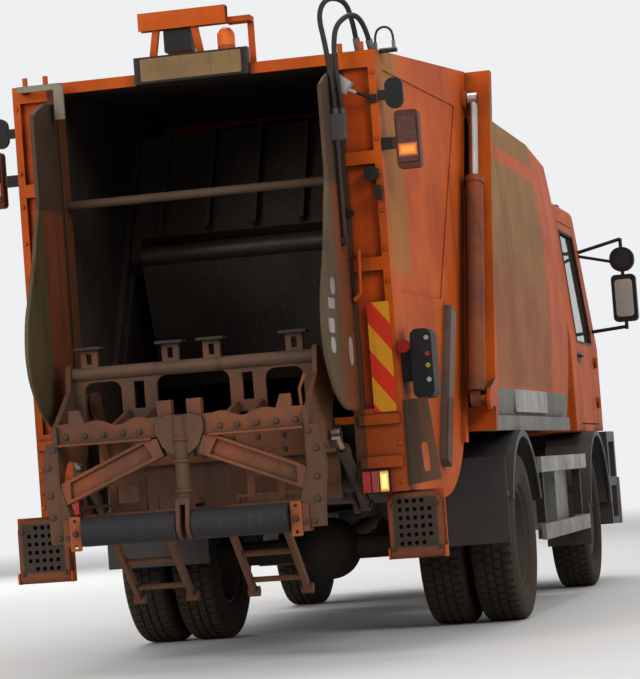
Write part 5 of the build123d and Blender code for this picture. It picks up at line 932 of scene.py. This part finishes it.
# striped board, blank number plate in its rim, blank labels and the plaque of the flank
signSetup = {
    "board": {"place": (-3.460, -0.9175, 1.5565), "size": (0.118, 0.576), "corner": 0.006, "thick": 0.004},
    "numberRim": {"place": (-3.510, -0.0175, 3.180), "size": (0.580, 0.136), "corner": 0.010, "thick": 0.003},
    "numberFace": {"place": (-3.513, -0.0175, 3.180), "size": (0.555, 0.120), "corner": 0.008, "thick": 0.002},
    "plaque": {"place": (-0.100, -1.198, 1.338), "size": (1.380, 0.150), "corner": 0.012, "thick": 0.012,
               "bevel": 0.003},
    "labelForm": {"y": -0.785, "thick": 0.0012, "bevel": 0.0003},
    # blank labels on the right guard leaf: x, z, width, height, corner
    "labels": ((-3.936, 1.915, 0.105, 0.090, 0.0445), (-3.985, 1.825, 0.150, 0.055, 0.006),
               (-4.020, 1.711, 0.150, 0.075, 0.030), (-4.010, 1.612, 0.115, 0.080, 0.0395),
               (-3.588, 1.594, 0.100, 0.150, 0.0490)),
}


def signPlate(sign, look):
    return plate(sign["place"], look, *sign["size"], sign["corner"], sign["thick"], sign.get("bevel", smallBevel))


def makeSigns(setup):
    makePiece("stripedBoard", signPlate(setup["board"], lookRear), "chevrons", "tailgate", "orange")
    makePiece("numberPlateFrame", signPlate(setup["numberRim"], lookRear), "blackPlastic", "tailgate", "black_plastic")
    makePiece("blankNumberPlate", signPlate(setup["numberFace"], lookRear), "plateFace", "tailgate", "pale_grey")
    form = setup["labelForm"]
    labels = [plate((x, form["y"], z), lookRight, width, height, corner, form["thick"], form["bevel"])
              for x, z, width, height, corner in setup["labels"]]
    makePiece("blankLabels", gather(labels), "labelWhite", "tailgate", "pale_grey")
    makePiece("sidePlaque", signPlate(setup["plaque"], lookRight), "labelWhite", "chassis", "pale_grey")


# guard leaves beside the hopper: X and Z of the outline's corners, from the top round the rear edge
guardSetup = {
    "inner": 0.765, "thick": 0.020, "bevel": 0.003, "steps": 6,
    "rimRadius": 0.0085, "rimInset": 0.006, "rimFrom": 3, "rimTo": -6,   # the rim leaves out the ends of the outline
    "outline": ((-3.460, 3.060), (-3.660, 3.030), (-3.820, 2.965), (-3.845, 2.920), (-3.845, 2.620),
                (-3.850, 2.480), (-3.920, 2.330), (-3.985, 2.170), (-4.080, 2.000), (-4.160, 1.850), (-4.190, 1.700),
                (-4.172, 1.580), (-4.120, 1.490), (-4.030, 1.400), (-3.930, 1.340), (-3.800, 1.302),
                (-3.640, 1.292), (-3.490, 1.292), (-3.462, 1.330)),
    "boltSize": 0.010, "boltHeight": 0.007, "boltX": -3.495, "boltZ": (1.42, 1.72, 2.05, 2.40, 2.75, 2.98),
}


# a smooth line through corners: each run's Hermite cubic takes its end slopes from the neighbouring corners
def smoothLine(corners, steps):
    corners = np.asarray(corners, float)
    slopes = np.gradient(corners, axis=0)
    t = np.linspace(0, 1, steps, endpoint=False)[None, :, None]
    start, end = corners[:-1, None, :], corners[1:, None, :]
    runs = ((2 * t ** 3 - 3 * t ** 2 + 1) * start + (t ** 3 - 2 * t ** 2 + t) * slopes[:-1, None, :]
            + (3 * t ** 2 - 2 * t ** 3) * end + (t ** 3 - t ** 2) * slopes[1:, None, :])
    return np.concatenate([runs.reshape(-1, corners.shape[1]), corners[-1:]])


def makeGuards(setup):
    line = smoothLine(setup["outline"], setup["steps"])
    middle = setup["inner"] + setup["thick"] / 2
    rim = np.column_stack([line[:, 0] + setup["rimInset"], np.full(len(line), -middle), line[:, 1]])
    rim = rim[setup["rimFrom"]:setup["rimTo"]]
    places = grid(setup["boltX"], -middle - setup["thick"] / 2, setup["boltZ"])
    bolts = scatter(boltHead(setup["boltSize"], setup["boltHeight"]), places, [lookRight] * len(places))
    sheet = scatter(slab(line, setup["thick"], setup["bevel"]), [(0, -setup["inner"], 0)], [lookRight])
    leaf, faces = gather([sheet, tube(rim, setup["rimRadius"], 8), bolts])
    both = gather([(leaf, faces), (leaf * (1, -1, 1), faces)])
    leaves = makePiece("guardLeaves", both, "leafPaint", "tailgate", "worn_steel")
    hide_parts("shields")


# slotted plate, tubes and bracket: a merged copy of guard_plates without the left plate, which the photo lacks
plateSetup = {"rear": -3.400, "inner": 0.990, "merge": 1e-5, "sharpAngle": 30.0}


def makeSlottedPlate(setup):
    form = bmesh.new()
    form.from_mesh(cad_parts["guard_plates"].data)
    bmesh.ops.remove_doubles(form, verts=form.verts, dist=setup["merge"])
    left = [vert for vert in form.verts if vert.co.x < setup["rear"] and vert.co.y > setup["inner"]]
    bmesh.ops.delete(form, geom=left, context="VERTS")
    piece = finishPiece(bpy.data.meshes.new("slottedPlate"), form, "platePaint", "tailgate",
                        setup["sharpAngle"])
    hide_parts("guard_plates")


# push buttons on the control box
buttonSetup = {"x": -3.400, "y": -1.150, "z": (1.640, 1.555, 1.495, 1.420), "radius": 0.013, "height": 0.010,
               "bevel": 0.002, "sides": 20}


def makeButtons(setup):
    angle = np.linspace(0, 2 * np.pi, setup["sides"], endpoint=False)
    disc = setup["radius"] * np.stack([np.cos(angle), np.sin(angle)], -1)
    buttons = scatter(slab(disc, setup["height"], setup["bevel"]), grid(setup["x"], setup["y"], setup["z"]),
                      [lookRear] * len(setup["z"]))
    makePiece("boxButtons", buttons, "buttonPaint", "tailgate", "pale_grey")


# the cab's side and front faces: where each starts, and how much it leans in with height above the belt
cabForm = {"belt": 1.8, "side": (1.150, 0.0874), "front": (4.160, 0.2083)}


def cabFace(face, height):
    start, lean = cabForm[face]
    return start - np.maximum(0.0, np.asarray(height) - cabForm["belt"]) * lean


# window seals, mirror glasses, wipers, handles and lamp bowls of the cab
cabSetup = {
    # the door window's corners in X and Z, the windscreen's in Y and Z
    "doorSeal": {"radius": 0.011, "inset": 0.004, "steps": 14,
                 "corners": ((2.935, 1.820), (3.795, 1.820), (3.815, 1.890), (3.690, 2.665), (2.935, 2.665))},
    "screenSeal": {"radius": 0.013, "inset": 0.004, "steps": 16,
                   "corners": ((1.000, 1.840), (0.930, 2.700), (-0.930, 2.700), (-1.000, 1.840))},
    # X and Z of the handle; its pan's width, height, corner and thickness; its grip's line in X and Y from there
    "handle": {"place": (2.975, 1.700), "panY": 1.1495, "pan": (0.190, 0.075, 0.012, 0.004),
               "grip": ((-0.070, 1.150), (-0.060, 1.174), (0.060, 1.174), (0.070, 1.150)), "lift": 0.012,
               "radius": 0.009},
    # spindle and blade middle of each wiper, Y and Z, and how far they stand out from the screen
    "wipers": (((0.85, 1.800), (0.42, 2.020)), ((0.02, 1.800), (-0.42, 2.020))),
    "wiperForm": {"spindleOut": 0.018, "middleOut": 0.020, "bladeOut": 0.010, "arm": (0.011, 0.006),
                  "bladeRadius": 0.007, "bladeEnds": ((0.27, -0.10), (-0.27, 0.10)),
                  "cap": ((0.020, -0.012), (0.022, 0.004), (0.018, 0.030), (0.004, 0.034))},
    # each mirror glass: its place, then width, height and corner
    "glasses": (((3.960, 1.420, 2.175), (0.138, 0.292, 0.028)), ((3.965, 1.420, 2.480), (0.136, 0.136, 0.0675))),
    "glassThick": 0.003,
    "bowl": {"x": 4.186, "places": ((0.895, 0.640), (1.035, 0.640)), "radius": 0.055, "depth": 0.034,
             "outer": (0.004, 0.0), "inner": (0.001, 0.002)},
}


def makeDoorDetails(setup):
    seal, handle = setup["doorSeal"], setup["handle"]
    window = alongLine([*seal["corners"], seal["corners"][0]], seal["steps"])[:-1]
    x, z = handle["place"]
    for letter, side, look in (("l", 1, lookLeft), ("r", -1, lookRight)):
        line = np.column_stack([window[:, 0], side * (cabFace("side", window[:, 1]) - seal["inset"]), window[:, 1]])
        makePiece(f"windowSeal_{letter}", tube(line, seal["radius"], 8, True), "blackPlastic", f"door_{letter}",
                  "black_plastic")
        pan = plate((x, side * handle["panY"], z), look, *handle["pan"])
        grip = [(x + along, side * y, z + handle["lift"]) for along, y in handle["grip"]]
        makePiece(f"doorHandle_{letter}", gather([pan, tube(alongLine(grip, 5), handle["radius"], 8)]), "blackPlastic",
                  f"door_{letter}", "black_plastic")


def makeScreenTrim(seal, wipers, form):
    screen = alongLine([*seal["corners"], seal["corners"][0]], seal["steps"])[:-1]
    line = np.column_stack([cabFace("front", screen[:, 1]) - seal["inset"], screen[:, 0], screen[:, 1]])
    shapes = [tube(line, seal["radius"], 8, True)]
    for (y0, z0), (y1, z1) in wipers:
        spindle = np.array((cabFace("front", z0) + form["spindleOut"], y0, z0))
        middle = np.array((cabFace("front", z1) + form["middleOut"], y1, z1))
        shapes.append(tube(alongLine([spindle, middle], 6), np.linspace(*form["arm"], 7), 6))
        ends = [(cabFace("front", z1 + rise) + form["bladeOut"], y1 + reach, z1 + rise)
                for reach, rise in form["bladeEnds"]]
        shapes.append(tube(alongLine(ends, 10), form["bladeRadius"], 6))
        shapes.append(spun(form["cap"], spindle - (form["spindleOut"], 0, 0), (1, 0, 0), 16))
    makePiece("screenTrim", gather(shapes), "blackPlastic", "chassis", "black_plastic")


def makeCabDetails(setup):
    makeDoorDetails(setup)
    makeScreenTrim(setup["screenSeal"], setup["wipers"], setup["wiperForm"])
    glasses = [plate((x, side * y, z), lookRear, *size, setup["glassThick"])
               for side in (1, -1) for (x, y, z), size in setup["glasses"]]
    makePiece("mirrorGlass", gather(glasses), "mirrorFace", "chassis", "glass")
    # a bowl's radius grows with the square root of its depth
    bowl = setup["bowl"]
    depth = np.linspace(0.0, 1.0, 9)
    walls = [np.column_stack([bowl["radius"] * np.sqrt(share) + wall, bowl["depth"] * share + lift])
             for share, (wall, lift) in ((depth, bowl["outer"]), (depth[::-1], bowl["inner"]))]
    bowls = [spun(np.concatenate(walls), (bowl["x"], side * y, z), (1, 0, 0), 24)
             for side in (1, -1) for y, z in bowl["places"]]
    makePiece("lampBowls", gather(bowls), "chrome", "chassis", "chrome")


# seats: padded cushions and backs with piped edges, on steel boxes
seatSetup = {
    "places": (0.610, -0.330, -0.760), "width": 0.420, "piping": 0.004, "pipingAt": 0.20, "pipingSteps": 80,
    "cushion": {"middle": (3.120, 1.565), "size": (0.520, 0.130), "tilt": -4.0},
    "back": {"middle": (2.845, 1.940), "size": (0.130, 0.660), "tilt": -14.0},
    "box": {"x": 3.100, "floor": 1.200, "size": (0.400, 0.340), "corner": 0.030, "height": 0.300, "bevel": 0.006},
    "pad": {"rows": 40, "columns": 72, "power": 0.34, "cushionCrown": 0.014, "backCrown": 0.012, "wideFrom": 0.3,
            "seamAt": 0.27, "seamWidth": 0.010, "seamDepth": 0.007},
    "sharpAngle": 60.0,
}


# a value's size raised to a power, with its sign kept
def bulge(value, power):
    return np.sign(value) * np.abs(value) ** power


# a pad: a box whose sides follow a power of sine and cosine, crowned on its wide faces, drawn in at two seams
def padShape(form, width, depth, height):
    rows, columns, power = form["rows"], form["columns"], form["power"]
    u = np.linspace(-np.pi / 2, np.pi / 2, rows)[1:-1, None]
    v = np.linspace(-np.pi, np.pi, columns, endpoint=False)[None, :]
    x = bulge(np.cos(u), power) * bulge(np.cos(v), power) * depth / 2
    y = bulge(np.cos(u), power) * bulge(np.sin(v), power) * width / 2
    z = bulge(np.sin(u), power) * np.ones_like(v) * height / 2
    seam = form["seamDepth"] * np.exp(-((np.abs(y) - width * form["seamAt"]) / form["seamWidth"]) ** 2)
    crown = 1 - (2 * y / width) ** 2
    if depth < height:
        swell = form["backCrown"] * (1 - (2 * z / height) ** 2) * crown - seam
        x = x + np.sign(x) * swell * (np.abs(x) > depth * form["wideFrom"])
    else:
        swell = form["cushionCrown"] * (1 - (2 * x / depth) ** 2) * crown - seam
        z = z + np.sign(z) * swell * (np.abs(z) > height * form["wideFrom"])
    last = (rows - 3) * columns
    caps = np.stack([np.arange(columns)[::-1], np.arange(last, last + columns)])
    return np.stack([x, y, z], -1).reshape(-1, 3), [gridFaces(rows - 2, columns, closeColumns=True), caps]


# a turn about Y
def leaning(degrees):
    turn = math.radians(degrees)
    return np.array([[math.cos(turn), 0, math.sin(turn)], [0, 1, 0], [-math.sin(turn), 0, math.cos(turn)]])


def makeSeats(setup):
    pads = []
    boxes = []
    box, width, power = setup["box"], setup["width"], setup["pad"]["power"]
    angle = np.linspace(-np.pi, np.pi, setup["pipingSteps"], endpoint=False)
    ahead, aside = bulge(np.cos(angle), power) / 2, bulge(np.sin(angle), power) / 2
    for y in setup["places"]:
        for key in ("cushion", "back"):
            part = setup[key]
            (x, z), (depth, height) = part["middle"], part["size"]
            turn = leaning(part["tilt"])
            pads.append(scatter(padShape(setup["pad"], width, depth, height), [(x, y, z)], [turn]))
            # the piping runs round the pad where it is widest
            if key == "cushion":
                ring = np.column_stack([ahead * depth, aside * width, np.full(len(angle), height * setup["pipingAt"])])
            else:
                ring = np.column_stack([np.full(len(angle), depth * setup["pipingAt"]), ahead * width, aside * height])
            pads.append(scatter(tube(ring, setup["piping"], 6, True), [(x, y, z)], [turn]))
        boxes.append(scatter(slab(roundOutline(*box["size"], box["corner"]), box["height"], box["bevel"]),
                             [(box["x"], y, box["floor"])], [lookUp]))
    cushions = makePiece("seatPads", gather(pads), "seatCloth", "chassis", "seat_cloth", setup["sharpAngle"])
    bases = makePiece("seatBoxes", gather(boxes), "blackPlastic", "chassis", "black_plastic")
    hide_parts("seats")
    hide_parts("seats")


# bolts, both sides alike: a row's size and height, its finish, body and slot, and its places as grids of X, Y and Z
boltRows = {
    "frameBolts": {"size": 0.012, "height": 0.010, "dress": ("chassisBlack", "chassis", "chassis_black"), "places": (
        ((-1.82, -1.72, -1.40, -0.50, -0.38, 0.05, 0.62, 0.78, 1.95, 2.05, 2.15, 2.40, 2.50), 0.430,
         (0.745, 0.925)),)},
    "postBolts": {"size": 0.0095, "height": 0.007, "dress": ("orangePaint", "tailgate", "orange"), "places": (
        (-3.460, 0.982, (0.90, 1.10, 1.95, 2.12, 2.32, 2.52, 2.70, 3.05)),)},
    "sillBolts": {"size": 0.011, "height": 0.008, "dress": ("rustySteel", "tailgate", "worn_steel"), "places": (
        (-3.440, (0.08, 0.22, 0.36, 0.50, 0.62), (1.115, 1.190)),)},
    # the comb's row, the column's bolts and the roller's end bolt
    "lifterBolts": {"size": 0.012, "height": 0.010, "dress": ("rustySteel", "lifter", "lifter_paint"), "places": (
        (-4.177, (0.21, 0.30, 0.40, 0.50, 0.60), 1.250), (-4.200, 0.665, 1.190), (-4.200, 0.700, 1.100),
        (-4.200, 0.695, 0.960), (-4.200, 0.690, 0.850), (-4.200, (0.665, 0.620), 0.740), (-4.215, 0.575, 0.757))},
}
stepBolts = {"size": 0.010, "height": 0.008, "places": ((-3.4055, (0.900, 1.140), 0.548),
                                                        (-3.4055, (0.905, 1.135), 0.775))}


# the places of a row's grids, one under the other
def rowPlaces(row):
    return np.concatenate([grid(*part) for part in row["places"]])


def makeBolts(rows, stepRow):
    for name, row in rows.items():
        places = rowPlaces(row)
        places = np.concatenate([places, places * (1, -1, 1)])
        turns = [lookRear] * len(places)
        if name == "frameBolts":
            turns = [lookLeft if y > 0 else lookRight for y in places[:, 1]]
        makePiece(name, scatter(boltHead(row["size"], row["height"]), places, turns), *row["dress"])
    bolt, places = boltHead(stepRow["size"], stepRow["height"]), rowPlaces(stepRow)
    for letter, side in (("l", 1), ("r", -1)):
        makePiece(f"stepBolts_{letter}", scatter(bolt, places * (1, side, 1), [lookRear] * len(places)),
                  "rustySteel", f"step_{letter}", "lifter_paint")


# weld beads: a tube whose radius ripples along its length; each body's finish, slot and runs
weldSetup = {
    "radius": 0.0045, "pitch": 0.009, "samples": 3, "ripple": 0.22, "sides": 6, "least": 8,
    "tailgate": ("brownSteel", "worn_steel", (
        ((-3.461, 0.749, 0.90), (-3.461, 0.749, 3.10)), ((-3.461, -0.749, 0.90), (-3.461, -0.749, 3.10)),
        ((-3.440, -0.655, 1.221), (-3.440, 0.655, 1.221)))),
    "lifter": ("darkLifterPaint", "lifter_paint", (
        ((-4.189, 0.640, 1.215), (-4.189, 0.150, 1.215)), ((-4.189, -0.640, 1.215), (-4.189, -0.150, 1.215)),
        ((-3.865, 0.644, 1.330), (-3.865, 0.644, 1.535)), ((-3.865, -0.644, 1.330), (-3.865, -0.644, 1.535)))),
}


def weldBead(setup, start, end):
    length = float(np.linalg.norm(np.subtract(end, start)))
    line = alongLine([start, end], max(setup["least"], int(length / (setup["pitch"] / setup["samples"]))))
    wave = np.sin(np.arange(len(line)) * 2 * np.pi / setup["samples"])
    return tube(line, setup["radius"] * (1 + setup["ripple"] * wave), setup["sides"])


def makeWelds(setup):
    for body in ("tailgate", "lifter"):
        finish, slotName, runs = setup[body]
        makePiece(f"welds_{body}", gather([weldBead(setup, *run) for run in runs]), finish, body, slotName)


# brake chambers with air lines, and pipes of the hydraulics
pipeSetup = {
    "chamber": {"x": -0.600, "y": 0.317, "z": 0.595,
                "profile": ((0.010, 0.0), (0.075, 0.0), (0.085, 0.012), (0.085, 0.082), (0.094, 0.088),
                            (0.094, 0.100), (0.085, 0.106), (0.080, 0.190), (0.060, 0.210), (0.010, 0.212))},
    "airLine": ((-0.390, 0.300, 0.600), (-0.310, 0.310, 0.640), (-0.290, 0.335, 0.720), (-0.290, 0.345, 0.800)),
    "airRadius": 0.009,
    # steel pipes along the frame: radius and corners
    "pipes": ((0.011, ((-1.790, 0.462, 1.030), (-1.790, 0.462, 1.060), (1.900, 0.462, 1.060))),
              (0.011, ((-1.760, 0.492, 1.030), (-1.760, 0.492, 1.060), (1.900, 0.492, 1.060)))),
}


def makePipes(setup):
    shapes = []
    chamber = setup["chamber"]
    for side in (1, -1):
        shapes.append(spun(chamber["profile"], (chamber["x"], side * chamber["y"], chamber["z"]), (1, 0, 0), 32))
        shapes.append(tube(alongLine(np.array(setup["airLine"]) * (1, side, 1), 6), setup["airRadius"], 8))
        for radius, corners in setup["pipes"]:
            shapes.append(tube(alongLine(np.array(corners) * (1, side, 1), 12), radius, 8))
    makePiece("brakeAndPipes", gather(shapes), "chassisBlack", "chassis", "chassis_black")


# stage
# a pale floor that turns into the backdrop with its distance from the truck
def floorMaterial(setup):
    material, tree, shader = newMaterial("floorMaterial")
    setShader(tree, shader, {"Base Color": colour(setup["floorColour"]), "Roughness": setup["floorRough"]})
    far = addNode(tree, "ShaderNodeVectorMath", {"operation": "LENGTH"}, i0=objectPlace(tree)).outputs["Value"]
    fade = ramp(tree, far, setup["fadeStart"], setup["fadeEnd"])
    rays = tree.nodes.new("ShaderNodeLightPath").outputs
    seen = mathNode(tree, "MAXIMUM", rays["Is Camera Ray"], rays["Is Glossy Ray"])
    glow = addNode(tree, "ShaderNodeEmission", Color=colour(setup["backColour"]), Strength=1.0)
    blend = addNode(tree, "ShaderNodeMixShader", i0=times(tree, fade, seen), i1=shader.outputs[0],
                    i2=glow.outputs[0])
    tree.links.new(blend.outputs[0], tree.nodes["Material Output"].inputs["Surface"])
    return material


def makeStage(setup):
    half = setup["floorSize"] / 2
    mesh = bpy.data.meshes.new("floor")
    mesh.from_pydata([(-half, -half, 0), (half, -half, 0), (half, half, 0), (-half, half, 0)], [], [(0, 1, 2, 3)])
    floor = newObject("floor", mesh)
    mesh.materials.append(floorMaterial(setup))
    world = bpy.data.worlds.new("softSky")
    bpy.context.scene.world = world
    world.use_nodes = True
    tree = world.node_tree
    tree.nodes.clear()
    rays = tree.nodes.new("ShaderNodeLightPath").outputs
    seen = mathNode(tree, "MAXIMUM", rays["Is Camera Ray"],
                    mathNode(tree, "MAXIMUM", rays["Is Glossy Ray"], rays["Is Transmission Ray"]))
    backdrop = addNode(tree, "ShaderNodeBackground", Color=colour(setup["backColour"]), Strength=1.0)
    light = addNode(tree, "ShaderNodeBackground", Color=(1.0, 1.0, 1.0, 1.0), Strength=setup["skyLight"])
    blend = addNode(tree, "ShaderNodeMixShader", i0=seen, i1=light.outputs[0], i2=backdrop.outputs[0])
    put = tree.nodes.new("ShaderNodeOutputWorld")
    tree.links.new(blend.outputs[0], put.inputs["Surface"])


makeCamera(cameraSetup)
makeStage(stageSetup)
for lampName, setup in lampSetup.items():
    makeLamp(lampName, setup)
dressNodes()
print("camera, stage, lamps and finishes set")
makeHoses(hoseRoutes)
makeWheels(tyreForm, wheelSetup)
makeSigns(signSetup)
makeGuards(guardSetup)
makeSlottedPlate(plateSetup)
makeButtons(buttonSetup)
print("hoses, tyres, signs and guards made")
makeCabDetails(cabSetup)
makeSeats(seatSetup)
makeBolts(boltRows, stepBolts)
makeWelds(weldSetup)
makePipes(pipeSetup)
print("cab details, seats, bolts, welds and pipes made")

bpy.context.scene.view_settings.view_transform = "Standard"
